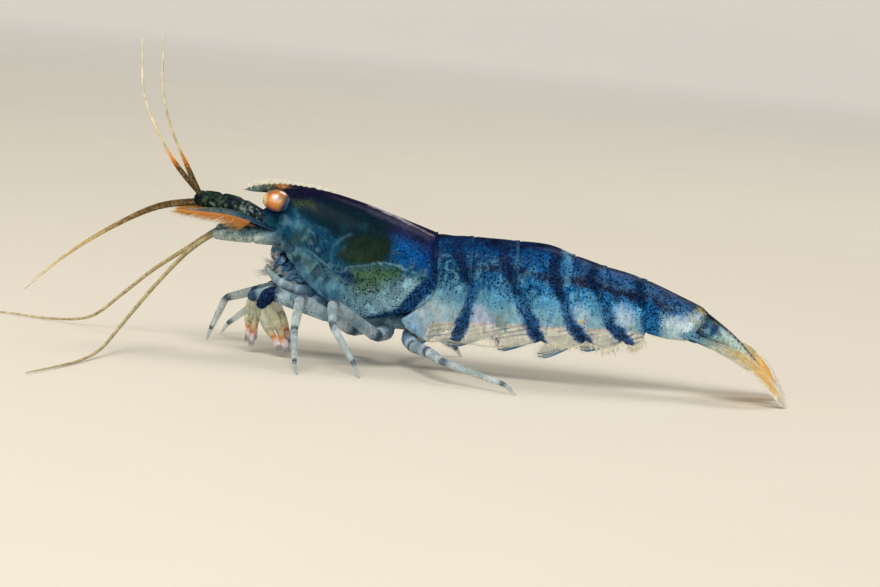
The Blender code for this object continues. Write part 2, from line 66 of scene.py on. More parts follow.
# The trunk: seam number, dorsal point (x, z), flank point (x, z) at the widest level, half width.
TRUNK = (
    (0.0, (-8.8, 8.22), (-8.95, 6.75), 1.15),
    (0.25, (-7.1, 8.33), (-7.25, 5.95), 1.75),
    (0.5, (-5.05, 7.95), (-5.2, 5.35), 2.1),
    (0.75, (-3.0, 7.38), (-2.95, 4.98), 2.2),
    (1.0, (-1.02, 6.8), (-0.84, 4.8), 2.12),
    (2.0, (0.72, 6.78), (0.86, 4.5), 2.05),
    (3.0, (3.03, 6.8), (3.22, 4.5), 1.98),
    (3.55, (4.65, 6.76), (4.62, 4.44), 1.93),
    (4.0, (5.89, 6.4), (5.68, 4.32), 1.82),
    (5.0, (7.49, 5.99), (7.28, 4.28), 1.6),
    (6.0, (9.54, 5.54), (9.36, 3.98), 1.32),
    (7.0, (12.85, 4.34), (12.4, 3.45), 0.85),
)
BACK = [(row[0], row[1]) for row in TRUNK]
FLANK = [(row[0], row[2]) for row in TRUNK]
HALF_WIDTH = [(row[0], row[3]) for row in TRUNK]
ARCH_POWER = 2.3
FLAP_LEAN = 0.16
LAST_SEAM = 7.06
# Each plate: first and last seam, lower margin as (seam, (x, z)), and where its belly crosses.
PLATES = {
    "carapace": (0, 1, ((0, (-8.45, 5.05)), (0.25, (-7.15, 3.75)), (0.5, (-5.6, 2.8)),
        (0.75, (-4.0, 2.4)), (1, (-2.25, 2.8))), 0.9),
    "pleon_segment_1": (1, 2, ((1, (-2.35, 2.25)), (1.5, (-0.95, 1.55)), (2, (-0.05, 1.8))), 0.6),
    "pleon_segment_2": (2, 3, ((2, (-0.05, 1.72)), (2.5, (2.3, 1.6)), (3, (4.6, 2.02))), 0.58),
    "pleon_segment_3": (3, 4, ((3, (4.65, 2.06)), (3.5, (5.85, 1.95)), (4, (6.9, 2.26))), 0.56),
    "pleon_segment_4": (4, 5, ((4, (6.95, 2.28)), (4.5, (7.95, 2.1)), (5, (8.75, 2.52))), 0.58),
    "pleon_segment_5": (5, 6, ((5, (8.8, 2.5)), (5.5, (9.35, 2.35)), (6, (9.8, 2.95))), 0.66),
    "pleon_segment_6": (6, 7, ((6, (9.8, 3.0)), (6.5, (10.85, 2.82)), (7, (11.95, 2.78))), 0.92),
}
PLATE_WALL = 0.12
PLATE_STEP = 0.055  # the mesh of the armour, which carries its markings
SEAM_OVERLAP = 0.14  # how far each plate reaches over the next, and the next under it
# Columns of a plate's mesh from the back down: arch, flap, lower rim, inside of the flap, belly.
ARCH_COLUMNS, FLAP_COLUMNS, RIM_COLUMNS, INSIDE_COLUMNS, BELLY_COLUMNS = 55, 46, 3, 8, 7
OUTSIDE_COLUMNS = ARCH_COLUMNS + FLAP_COLUMNS

# Walking legs: coxa, end of ischium, knee, end of carpus, end of propodus, foot.
WALKING_LEGS = {
    "walking_leg_3_left": ((-4.1, -0.75, 1.92), (-4.7, -2.0, 1.72), (-7.35, -4.0, 3.25),
        (-7.45, -5.5, 1.85), (-7.2, -7.6, 0.55), (-7.02, -8.0, 0.0)),
    "walking_leg_4_left": ((-3.0, -0.75, 1.72), (-3.5, -2.0, 1.55), (-5.76, -3.7, 3.15),
        (-5.64, -4.8, 2.2), (-4.35, -6.5, 0.6), (-4.05, -6.95, 0.0)),
    "walking_leg_5_left": ((-1.9, -0.75, 1.48), (-1.6, -2.0, 1.2), (-0.85, -4.4, 1.3),
        (-0.1, -5.6, 1.05), (2.95, -7.05, 0.45), (3.6, -7.3, 0.0)),
    "walking_leg_3_right": ((-4.15, 0.75, 1.95), (-5.1, 2.4, 1.95), (-9.05, 2.9, 2.95),
        (-11.35, 2.35, 2.2), (-11.95, 1.95, 0.6), (-12.1, 1.85, 0.0)),
    "walking_leg_4_right": ((-3.0, 0.75, 1.72), (-3.5, 2.4, 1.5), (-7.0, 4.2, 3.05),
        (-9.6, 4.8, 2.15), (-11.3, 5.45, 0.55), (-11.62, 5.6, 0.0)),
    "walking_leg_5_right": ((-1.9, 0.75, 1.48), (-1.6, 2.0, 1.2), (-1.3, 3.8, 1.75),
        (-0.8, 4.6, 1.25), (0.55, 5.55, 0.45), (0.85, 5.8, 0.0)),
}
WALKING_LEG_RADII = (0.42, 0.31, 0.26, 0.19, 0.12, 0.035)
# Clawed legs by number, drawn for the left: coxa, end of ischium, knee, wrist.
CLAW_ARMS = {
    1: ((-6.3, -0.7, 2.95), (-7.1, -1.05, 2.55), (-8.85, -1.08, 3.05), (-9.8, -1.1, 2.8)),
    2: ((-5.3, -0.75, 2.4), (-5.95, -1.6, 2.25), (-8.95, -1.85, 3.15), (-9.28, -1.9, 2.55)),
}
CLAW_TIPS = {1: (-9.78, -1.3, 0.36), 2: (-7.9, -2.05, 0.22)}
CLAW_ARM_RADII = (0.4, 0.32, 0.36, 0.3)
CLAW_HALF_WIDTH = {1: 0.36, 2: 0.49}
CLAW_HALF_DEPTH = 0.27
MAXILLIPED = ((-6.9, -0.45, 3.25), (-7.9, -0.5, 3.35), (-8.7, -0.52, 3.62), (-9.3, -0.45, 4.2))
MAXILLIPED_RADII = (0.3, 0.27, 0.22, 0.12)

ANTENNULE_BASE = ((-9.3, 0.5, 6.32), (-10.9, 0.5, 7.06), (-11.95, 0.5, 7.22), (-12.9, 0.5, 7.3))
ANTENNULE_RADII = (0.36, 0.42, 0.42, 0.36)
ANTENNULE_OUTER = {
    "left": ((-12.85, -0.52, 7.3), (-13.75, -0.75, 8.95), (-14.65, -1.15, 10.7),
        (-15.22, -1.6, 12.75), (-15.35, -2.0, 15.55)),
    "right": ((-12.85, 0.52, 7.3), (-14.4, 0.9, 8.8), (-15.62, 1.45, 10.5), (-16.45, 2.0, 12.2),
        (-16.8, 2.45, 14.75)),
}
ANTENNULE_INNER = {
    "left": ((-12.85, -0.45, 7.15), (-15.0, -0.8, 6.65), (-17.0, -1.3, 5.55), (-19.1, -1.9, 4.0),
        (-21.0, -2.5, 2.15)),
    "right": ((-12.85, 0.45, 7.2), (-15.0, 0.9, 6.7), (-17.1, 1.5, 5.5), (-19.3, 2.2, 3.85),
        (-21.3, 2.9, 2.0)),
}
ANTENNA_BASE = ((-8.9, 0.95, 5.8), (-10.1, 1.15, 5.86), (-11.85, 1.25, 5.74))
ANTENNA_BASE_RADII = (0.38, 0.42, 0.3)
ANTENNA = {
    "left": ((-11.7, -1.25, 5.75), (-12.2, -1.35, 5.6), (-13.3, -2.3, 4.65), (-14.6, -4.0, 3.0),
        (-15.7, -6.2, 1.4), (-16.4, -8.9, 0.4), (-17.05, -11.6, 0.12), (-17.9, -14.6, 0.1),
        (-18.9, -17.5, 0.08)),
    "right": ((-11.7, 1.25, 5.75), (-12.2, 1.35, 5.6), (-13.45, 1.6, 4.62), (-15.15, 1.95, 3.25),
        (-16.6, 2.25, 1.85), (-18.05, 2.6, 0.55), (-19.9, 3.1, 0.14), (-22.6, 3.9, 0.1),
        (-25.8, 4.3, 0.08)),
}
SCALE_LINE = ((-9.1, -1.0, 6.2), (-11.2, -1.35, 6.85), (-13.55, -1.15, 6.82))
SCALE_HALF_WIDTH = 0.6
SCALE_TILT = -8.0

EYE_CENTRE = (-9.1, 1.42, 7.68)
EYE_RADIUS = 0.6
EYESTALK = ((-8.55, 0.3, 7.1), (-8.85, 0.75, 7.35), (-9.1, 1.15, 7.6))
ROSTRUM_LINE = ((-7.4, 0.0, 8.12), (-8.6, 0.0, 8.16), (-9.7, 0.0, 8.12), (-10.8, 0.0, 7.96))
ROSTRUM_TEETH = 13

# Swimmerets from front to back: root, how far the paddle hangs, and how far it reaches forward.
PLEOPOD_X = (-0.35, 2.05, 4.55, 6.6, 8.3)
PLEOPOD_Z = (2.66, 2.58, 2.66, 2.74, 2.78)
PLEOPOD_DROP = (1.21, 1.05, 1.06, 1.26, 0.83)
PLEOPOD_REACH = (1.05, 1.6, 1.6, 1.6, 1.3)
PLEOPOD_Y = 0.64
PLEOPOD_HALF_WIDTH = 0.4

TELSON_LINE = ((12.2, 0.0, 4.1), (14.1, 0.0, 2.95), (15.5, 0.0, 1.72))
TELSON_CAD_HEIGHTS = ((0, 0.42), (0.5, 0.32), (1, 0.25))
# Tail blades: root, bend, tip and tilt in degrees.
OUTER_BLADE = {
    "left": ((11.9, -0.6, 3.08), (14.9, -1.65, 2.1), (17.1, -1.45, 0.06), -12.0),
    "right": ((11.9, 0.55, 3.05), (15.3, 1.65, 2.05), (17.08, 1.5, 0.14), 32.0),
}
INNER_BLADE = {
    "left": ((11.8, -0.42, 3.1), (14.4, -0.6, 2.24), (16.7, -0.55, 0.72), -26.0),
    "right": ((11.8, 0.42, 3.05), (14.4, 0.6, 2.1), (16.7, 0.55, 0.72), 12.0),
}
OUTER_BLADE_HALF_WIDTH = 0.84
INNER_BLADE_HALF_WIDTH = 0.46

# Bristles: half their thickness, and how many stand on a fingertip or along one edge.
ROSTRUM_BRISTLE, WHISKER, SCALE_BRISTLE, LEG_SPINE = 0.036, 0.012, 0.013, 0.016
BRUSH_HAIR, FEATHER, TELSON_SPINE, TAIL_BRISTLE, FLAP_BRISTLE = 0.012, 0.007, 0.034, 0.01, 0.013
BRUSH_HAIRS, SCALE_BRISTLES, TAIL_BRISTLES, FLAP_BRISTLES = 260, 420, 110, 110
ROSTRUM_BRISTLES = 52

NAVY, INK, RIDGE = (8, 20, 62), (6, 10, 26), (22, 16, 46)
DEEP_BLUE, SKY, PALE, LAVENDER = (14, 58, 132), (96, 166, 206), (178, 196, 216), (190, 190, 218)
CREAM, TEAL, GREY_TEAL, STEEL = (232, 224, 200), (26, 84, 104), (106, 146, 148), (104, 140, 162)
OLIVE, DARK_OLIVE, BOTTLE, MAROON = (66, 84, 36), (32, 44, 26), (12, 34, 44), (70, 18, 34)
BROWN, ORANGE, YELLOW, WHITE = (70, 48, 34), (226, 132, 44), (198, 176, 52), (236, 238, 238)
BAND_BLUE, BAND_NAVY, STRIPE_NAVY = (22, 104, 180), (10, 70, 122), (6, 50, 90)


# ---- curves, colours and soft masks ----------------------------------------------------------


def at(knots, s):
    """A smooth curve through (place, value or values) knots, read at each s: cubic, with chords for
    tangents."""
    places = np.array([k[0] for k in knots], float)
    values = np.array([k[1] for k in knots], float).reshape(len(knots), -1)
    last = len(knots) - 1
    low, high = np.maximum(np.arange(last + 1) - 1, 0), np.minimum(np.arange(last + 1) + 1, last)
    slopes = (values[high] - values[low]) / (places[high] - places[low])[:, None]
    s = np.asarray(s, float)
    i = np.clip(np.searchsorted(places, s, side="right") - 1, 0, last - 1)
    width = (places[i + 1] - places[i])[..., None]
    u = (s - places[i])[..., None] / width
    curve = (
        values[i] * (1 + 2 * u) * (1 - u) ** 2
        + values[i + 1] * u * u * (3 - 2 * u)
        + slopes[i] * width * u * (1 - u) ** 2
        - slopes[i + 1] * width * u * u * (1 - u)
    )
    return curve if np.ndim(knots[0][1]) else curve[..., 0]


def smooth_line(points, count):
    """count points along a smooth curve through the given ones."""
    return at(list(enumerate(points)), np.linspace(0, len(points) - 1, count))


def read(line, share):
    """The points at shares of the way along a line."""
    t = np.linspace(0, 1, len(line))
    return np.stack([np.interp(share, t, line[:, c]) for c in range(3)], -1)


def mirrored(points, side):
    points = np.array(points, float)
    points[..., 1] = np.abs(points[..., 1]) * SIDES[side]
    return points


def unit(vectors):
    vectors = np.asarray(vectors, float)
    return vectors / np.linalg.norm(vectors, axis=-1, keepdims=True)


def smoothstep(low, high, value):
    share = np.clip((value - low) / (high - low), 0, 1)
    return share * share * (3 - 2 * share)


def bell(value, middle, width):
    return np.exp(-(((value - middle) / width) ** 2))


LATTICE = np.array(Matrix.Rotation(0.9, 3, Vector((0.6, 0.64, 0.48))))


def noise(points, cell, seed=0):
    """Smooth value noise from -1 to 1, its bumps one cell apart in mm, on a slanting lattice."""
    place = np.asarray(points, float) @ LATTICE / cell + 7.31 * seed + 1000
    base = np.floor(place).astype(np.int64)
    part = place - base
    part = part * part * (3 - 2 * part)
    total = 0.0
    for corner in np.ndindex(2, 2, 2):
        node = base + corner
        mixed = (node[:, 0] * 73856093) ^ (node[:, 1] * 19349663) ^ (node[:, 2] * 83492791)
        mixed = ((mixed ^ (mixed >> 13)) * 1274126177) & 0x7FFFFFFF
        weight = np.prod(np.where(corner, part, 1 - part), axis=1)
        total = total + weight * (mixed / 0x7FFFFFFF * 2 - 1)
    return total


def blots(points, cell, seed, low, high):
    """Soft-edged blots, 1 where the noise is over high and 0 where it is under low."""
    return smoothstep(low, high, noise(points, cell, seed))


def band(x, z, knots, soft, fray=0.0):
    """1 inside a band along a smooth line of (x, z, half width) knots, and 0 outside it. A fourth
    number in a knot is the band's strength there."""
    knots = [tuple(k) + (1.0,) * (4 - len(k)) for k in knots]
    line = smooth_line(knots, 6 * len(knots) - 5) if len(knots) > 1 else np.array(knots * 2, float)
    nearest, strength = np.full(x.shape, np.inf), np.ones(x.shape)
    for a, b in zip(line, line[1:]):
        run = b[:2] - a[:2]
        share = ((x - a[0]) * run[0] + (z - a[1]) * run[1]) / max(run @ run, 1e-9)
        share = np.clip(share, 0, 1)
        gap = np.hypot(x - a[0] - share * run[0], z - a[1] - share * run[1])
        gap = gap - a[2] - share * (b[2] - a[2])
        strength = np.where(gap < nearest, a[3] + share * (b[3] - a[3]), strength)
        nearest = np.minimum(nearest, gap)
    return strength * smoothstep(soft, -soft, nearest + fray)


def linear(colour):
    """A display colour as the linear one that shaders use. An array of colours is linear already."""
    if isinstance(colour, np.ndarray):
        return colour
    shares = np.array(colour) / 255
    return np.where(shares <= 0.04045, shares / 12.92, ((shares + 0.055) / 1.055) ** 2.4)


def ramp(value, *stops):
    """Colours between (value, colour) stops."""
    places = [stop[0] for stop in stops]
    colours = np.array([linear(stop[1]) for stop in stops])
    return np.stack([np.interp(value, places, colours[:, c]) for c in range(3)], -1)


def laid(colours, *layers):
    """Colours with (colour, share) layers laid over them, one after another."""
    colours = linear(colours)
    for colour, share in layers:
        colours = colours + (linear(colour) - colours) * np.asarray(share)[..., None]
    return colours


# ---- meshes ----------------------------------------------------------------------------------


class Patch:
    """One stretch of surface: points, faces, and what is painted on them."""

    def __init__(self, points, faces):
        self.points = np.asarray(points, float).reshape(-1, 3)
        self.faces = [tuple(f) for f in faces]
        self.slots = [0] * len(self.faces)

    def paint(self, colours, spots=0.0, solid=1.0):
        count = len(self.points)
        self.colours = np.broadcast_to(linear(colours), (count, 3)).copy()
        self.spots = np.broadcast_to(np.asarray(spots, float), count).copy()
        self.solid = np.broadcast_to(np.asarray(solid, float), count).copy()


def grid_faces(rows, columns):
    """Quads over a grid of points, one closed row after another."""
    faces = []
    for i in range(rows - 1):
        for k in range(columns):
            n = (k + 1) % columns
            a, b = i * columns, (i + 1) * columns
            faces.append((a + k, b + k, b + n, a + n))
    return faces


def placed(points):
    """Design millimetres as metres in the row frame, with nothing below the floor."""
    return np.maximum((points - MIDDLE) * MM, (-np.inf, -np.inf, 0.0))


def linked(name, data):
    made = bpy.data.objects.new(name, data)
    bpy.context.scene.collection.objects.link(made)
    return made


def piece(name, patches, *materials, slot="shell", in_cad=True):
    """Joins patches into one object that rides on the frame. Where the CAD has it, it stands for
    the node of its name."""
    points = np.concatenate([p.points for p in patches])
    faces, start = [], 0
    for p in patches:
        faces += [tuple(v + start for v in f) for f in p.faces]
        start += len(p.points)
    mesh = bpy.data.meshes.new(name)
    mesh.from_pydata(placed(points).tolist(), [], faces)
    for material in materials:
        mesh.materials.append(material)
    mesh.polygons.foreach_set("material_index", [s for p in patches for s in p.slots])
    colours = np.concatenate([p.colours for p in patches])
    colours = np.concatenate([np.clip(colours, 0, 1), np.ones((len(colours), 1))], axis=1)
    mesh.attributes.new("Paint", "FLOAT_COLOR", "POINT").data.foreach_set("color", colours.ravel())
    for key in ("spots", "solid"):
        values = np.concatenate([getattr(p, key) for p in patches])
        mesh.attributes.new(key.title(), "FLOAT", "POINT").data.foreach_set("value", values)
    mesh.shade_smooth()
    mesh.update()
    made = linked(name, mesh)
    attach(made, "root")
    if in_cad:
        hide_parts(name)
    return made


def frames_along(line, side):
    """Unit vectors along, across and up at each point of a line, turning as little as they can."""
    along = unit(np.gradient(np.asarray(line, float), axis=0))
    across, acrosses = np.array(side, float), []
    for ahead in along:
        across = unit(across - ahead * (across @ ahead))
        acrosses.append(across)
    across = np.array(acrosses)
    return along, across, np.cross(along, across)


def upwards(line):
    """Which way is up across a line in a plane of constant Y."""
    up = frames_along(line, (0, 1, 0))[2]
    return up * np.sign(up[:, 2:])


def rod(line, widths, heights, side=(0, 1, 0), sides=16):
    """A patch for an oval rod along a line, its ends closed as domes of three extra rings. .share
    and .turn say where each point is along it and round it."""
    line = np.asarray(line, float)
    share = np.concatenate([np.zeros(3), np.linspace(0, 1, len(line)), np.ones(3)])
    radii = [np.broadcast_to(np.asarray(r, float), len(line)) for r in (widths, heights)]
    turns = np.radians((70, 45, 20))
    start, end = min(r[0] for r in radii), min(r[-1] for r in radii)
    widths, heights = (
        np.concatenate([r[0] * np.cos(turns), r, r[-1] * np.cos(turns[::-1])]) for r in radii
    )
    line = np.concatenate([
        line[0] + np.sin(turns)[:, None] * unit(line[0] - line[1]) * start,
        line,
        line[-1] + np.sin(turns[::-1])[:, None] * unit(line[-1] - line[-2]) * end,
    ])
    _, across, up = frames_along(line, side)
    turn = 2 * np.pi * (np.arange(sides) + 0.5) / sides
    ring = (
        line[:, None]
        + across[:, None] * (widths[:, None] * np.cos(turn))[..., None]
        + up[:, None] * (heights[:, None] * np.sin(turn))[..., None]
    )
    count = len(line)
    ends = [tuple(range(sides)), tuple(reversed(range((count - 1) * sides, count * sides)))]
    patch = Patch(ring, grid_faces(count, sides) + ends)
    patch.share = np.repeat(share, sides)
    patch.turn = np.tile(turn, count)
    return patch


def limb(joints, radii, sides=16, step=0.08):
    """A jointed rod whose lengths swell, whose joints are narrow and whose corners are a little
    rounded. .place is each point's joint number, plus the share of the way to the next joint."""
    joints = np.asarray(joints, float)
    line, widths, places = [], [], []
    for i, (a, b) in enumerate(zip(joints, joints[1:])):
        length = np.linalg.norm(b - a)
        count = max(int(length / step), 6)
        share = np.arange(count) / count
        pinch = 1 - 0.16 * bell(np.minimum(share, 1 - share) * length, 0, 0.09)
        swell = 1 + 0.06 * np.sin(np.pi * share)
        line.append(a + (b - a) * share[:, None])
        widths.append((radii[i] + (radii[i + 1] - radii[i]) * share) * swell * pinch)
        places.append(i + share)
    line = np.concatenate(line + [joints[-1:]])
    widths = np.concatenate(widths + [radii[-1:]])
    for _ in range(2):
        line[1:-1] = (line[:-2] + 2 * line[1:-1] + line[2:]) / 4
    patch = rod(line, widths, widths, sides=sides)
    last = len(joints) - 1.0
    patch.place = np.repeat(np.concatenate([[0] * 3, *places, [last] * 4]), sides)
    return patch


def spikes(roots, ways, lengths, thick, bend):
    """Thin three-sided spikes, each in two lengths so that it can curve."""
    ways, lengths = unit(ways), lengths[:, None]
    helper = np.where(np.abs(ways[:, 2:]) < 0.8, (0.0, 0.0, 1.0), (1.0, 0.0, 0.0))
    across = unit(np.cross(ways, helper))
    up = np.cross(ways, across)
    bend = np.asarray(bend, float) * lengths
    middle = roots + ways * lengths * 0.5 + bend * 0.25
    rings = []
    for centre, size in ((roots, 1.0), (middle, 0.7)):
        for k in range(3):
            turn = 2 * math.pi * k / 3
            rings.append(centre + (across * math.cos(turn) + up * math.sin(turn)) * thick * size)
    points = np.stack(rings + [roots + ways * lengths + bend], axis=1)
    faces = []
    for a in range(0, 7 * len(roots), 7):
        for k in range(3):
            n = (k + 1) % 3
            faces.append((a + k, a + n, a + 3 + n, a + 3 + k))
            faces.append((a + 3 + k, a + 3 + n, a + 6))
    patch = Patch(points, faces)
    patch.share = np.tile((0, 0, 0, 0.5, 0.5, 0.5, 1.0), len(roots))
    return patch


def add_bake_map(made, roots, spread=0.003):
    """The map that a bake of bristles reads: each is a small patch at its root's place. The body is
    unwrapped sideways, its left flank in the lower half and its right flank in the upper half."""
    roots = placed(roots)
    low, high = np.array(CAD_BOX[0]), np.array(CAD_BOX[1])
    share = (roots - low) / (high - low)
    out = np.abs(roots[:, 1]) / max(-low[1], high[1])
    up = 0.02 + 0.3 * share[:, 2] + 0.15 * out
    up = np.where(roots[:, 1] < 0, up, up + 0.5)
    places = np.stack([0.02 + 0.96 * share[:, 0], up], axis=1)
    corners = np.array(((0, 0), (1, 0), (0.5, 1), (0, 0.3), (1, 0.3), (0.5, 1), (0.5, 0.5)))
    places = np.repeat(places, 7, axis=0) + np.tile(corners * spread, (len(roots), 1))
    layer = made.data.uv_layers.new(name="OFBake")
    loops = np.empty(len(made.data.loops), np.int32)
    made.data.loops.foreach_get("vertex_index", loops)
    layer.data.foreach_set("uv", places[loops].ravel())


class Tuft:
    """The bristles of one piece, gathered before they are made."""

    def __init__(self):
        self.roots, self.ways, self.lengths = [], [], []

    def add(self, roots, ways, lengths):
        """Takes one way and length for each root, or one for them all."""
        roots = np.asarray(roots, float).reshape(-1, 3)
        self.roots.append(roots)
        self.ways.append(np.broadcast_to(ways, roots.shape))
        self.lengths.append(np.broadcast_to(lengths, len(roots)))

    def build(self, name, thick, *stops, bend=(0, 0, 0)):
        """Makes them, coloured from root to tip by (share, colour) stops."""
        roots = np.concatenate(self.roots)
        patch = spikes(roots, np.concatenate(self.ways), np.concatenate(self.lengths), thick, bend)
        patch.paint(ramp(patch.share, *stops))
        add_bake_map(piece(name, [patch], BRISTLES, in_cad=False), roots)


# ---- materials -------------------------------------------------------------------------------


class Nodes:
    """A short way to write a shader tree."""

    def __init__(self, name):
        self.material = bpy.data.materials.new(name)
        self.material.use_nodes = True
        self.tree = self.material.node_tree
        self.place = self.add("TexCoord").outputs["Object"]

    def add(self, kind, inputs=None, **settings):
        made = self.tree.nodes.new("ShaderNode" + kind)
        for key, value in settings.items():
            setattr(made, key, value)
        for key, value in (inputs or {}).items():
            self.set(made.inputs[key], value)
        return made

    def set(self, socket, value):
        if isinstance(value, bpy.types.NodeSocket):
            self.tree.links.new(value, socket)
        else:
            socket.default_value = value

    def math(self, operation, *values, clamp=False):
        made = self.add("Math", operation=operation, use_clamp=clamp)
        for socket, value in zip(made.inputs, values):
            self.set(socket, value)
        return made.outputs[0]

    def mix(self, share, a, b):
        made = self.add("Mix", data_type="RGBA")
        for key, value in (("Factor", share), ("A", a), ("B", b)):
            self.set(made.inputs[key], (*linear(value), 1.0) if isinstance(value, tuple) else value)
        return made.outputs["Result"]

    def noise(self, cell, detail=2.0, output="Fac", roughness=0.5, place=None):
        """Noise whose bumps are about one cell apart in mm."""
        return self.add("TexNoise", {
            "Vector": place or self.place, "Scale": 1 / (cell * MM), "Detail": detail,
            "Roughness": roughness,
        }).outputs[output]

    def voronoi(self, cell, randomness, place=None):
        return self.add("TexVoronoi", {
            "Vector": place or self.place, "Scale": 1 / (cell * MM), "Randomness": randomness,
        }).outputs

    def bump(self, strength, distance, height):
        inputs = {"Strength": strength, "Distance": distance, "Height": height}
        return self.add("Bump", inputs).outputs["Normal"]

    def attribute(self, name, output="Fac"):
        return self.add("Attribute", attribute_name=name).outputs[output]

    def toned(self, colour, value):
        return self.add("HueSaturation", {"Color": colour, "Value": value}).outputs["Color"]

    def ranged(self, value, low, high, top=1.0):
        inputs = {"Value": value, "From Min": low, "From Max": high, "To Max": top}
        return self.add("MapRange", inputs).outputs["Result"]

    def shade(self, **inputs):
        for key, value in inputs.items():
            self.set(self.tree.nodes["Principled BSDF"].inputs[key.replace("_", " ")], value)
        return self.material


def skin(name, dot=0.11, dot_colour=(6, 15, 44), see_through=False, mottle=0.55):
    """Cuticle over pigment: painted ground, dots of two sizes, fine mottling and a wet gloss."""
    n = Nodes(name)
    spots = n.attribute("Spots")
    warp = {0: n.noise(0.09, 1.0, "Color"), 1: (0.05 * MM,) * 3, 2: n.place}
    warped = n.add("VectorMath", warp, operation="MULTIPLY_ADD").outputs["Vector"]
    dots = 0.0
    for width, few, weight in ((dot, 1.1, 1.0), (dot * 0.55, 0.8, 0.75)):
        cells = n.voronoi(width, 0.95, warped)
        pick = n.add("SeparateColor", {"Color": cells["Color"]}).outputs
        shown = n.math("LESS_THAN", pick["Red"], n.math("MULTIPLY_ADD", spots, few, 0.03))
        size = n.math("MULTIPLY_ADD", pick["Green"], 0.22, 0.16)
        size = n.math("MULTIPLY_ADD", spots, 0.34, size)
        edge = n.math("SUBTRACT", size, cells["Distance"])
        layer = n.math("MULTIPLY", n.math("MULTIPLY", edge, 6.0, clamp=True), shown)
        dots = n.math("MAXIMUM", dots, n.math("MULTIPLY", layer, weight))
    cloud = n.noise(0.5, 4.0)
    speck = n.ranged(n.noise(0.13, 4.0, roughness=0.65), 0.42, 0.62)
    tall = n.add("VectorMath", {0: n.place, 1: (1.0, 1.0, 0.3)}, operation="MULTIPLY")
    fibre = n.noise(0.15, 3.0, place=tall.outputs["Vector"])
    value = n.math("MULTIPLY_ADD", cloud, 1.0, n.math("MULTIPLY_ADD", n.noise(0.07), 0.8, -0.42))
    value = n.math("MULTIPLY_ADD", fibre, 1.1, value)
    shade = n.math("MULTIPLY", n.math("MULTIPLY", speck, mottle), n.math("MINIMUM", spots, 1.0))
    value = n.math("MULTIPLY", value, n.math("SUBTRACT", 1.0, shade))
    ground = n.toned(n.attribute("Paint", "Color"), value)
    colour = n.mix(n.math("MULTIPLY", dots, 0.9), ground, dot_colour)
    fine = n.noise(0.05, 3.0)
    n.shade(
        Base_Color=colour, Normal=n.bump(0.15, 0.02 * MM, n.math("MULTIPLY_ADD", dots, -0.3, fine)),
        Roughness=n.math("MULTIPLY_ADD", fine, 0.16, 0.38),
        Specular_IOR_Level=0.0, IOR=1.4, Coat_Weight=0.05, Coat_Roughness=0.22,
    )
    if see_through:
        n.shade(Alpha=n.attribute("Solid"))
    return n.material


def eye_material():
    """A pearly eye under a clear lens-smooth surface, with the fine grid of its facets."""
    n = Nodes("eye")
    facets = n.voronoi(0.035, 0.15)["Distance"]
    value = n.math("MULTIPLY_ADD", n.noise(0.3), 0.3, 0.85)
    return n.shade(
        Base_Color=n.toned(n.attribute("Paint", "Color"), value), Roughness=0.3,
        Normal=n.bump(0.12, 0.01 * MM, facets),
        Coat_Weight=0.8, Coat_Roughness=0.06,
    )


def bristle_material():
    """Bristles, darker or lighter along them as they are painted."""
    n = Nodes("bristles")
    grain = n.noise(0.2)
    colour = n.toned(n.attribute("Paint", "Color"), n.math("MULTIPLY_ADD", grain, 0.5, 0.75))
    return n.shade(Base_Color=colour, Roughness=0.45, Specular_IOR_Level=0.3)


SHELL = skin("shell")
FLAP = skin("flap", see_through=True)
LIMB = skin("limb", dot=0.12, mottle=0.35, see_through=True)
CLAW = skin("claw", dot=0.14, dot_colour=(60, 60, 56), mottle=0.2, see_through=True)
FIN = skin("fin", dot=0.13, see_through=True)
FEELER = skin("feeler", dot=0.09, dot_colour=(60, 40, 26))
EYE = eye_material()
BRISTLES = bristle_material()


# ---- the armour ------------------------------------------------------------------------------

# Markings: name, colour, strength, softness, dots, and a line of (x, z, half width, strength).


def side_band(name, *knots):
    """Thick dots on bright blue above, and near solid navy within a blue rim below."""
    core = [(x, z, half * 0.72, strength) for x, z, half, strength in knots]
    glow = [(x, z, half, 0.5 + 0.5 * strength) for x, z, half, strength in knots]
    return ((name, BAND_BLUE, 0.85, 0.13, 0.85, glow), (name, BAND_NAVY, 0.8, 0.14, 0.86, core))


def back_stripe(name, red, *knots):
    """A dark stripe down from the back, with a reddish core."""
    core = [(x, z, half * 0.42) for x, z, half in knots[:-1]]
    knots = [(x, z, half * 0.86) for x, z, half in knots]
    return ((name, STRIPE_NAVY, 0.9, 0.16, 0.88, knots), (name, MAROON, 0.5 * red, 0.12, 0.6, core))


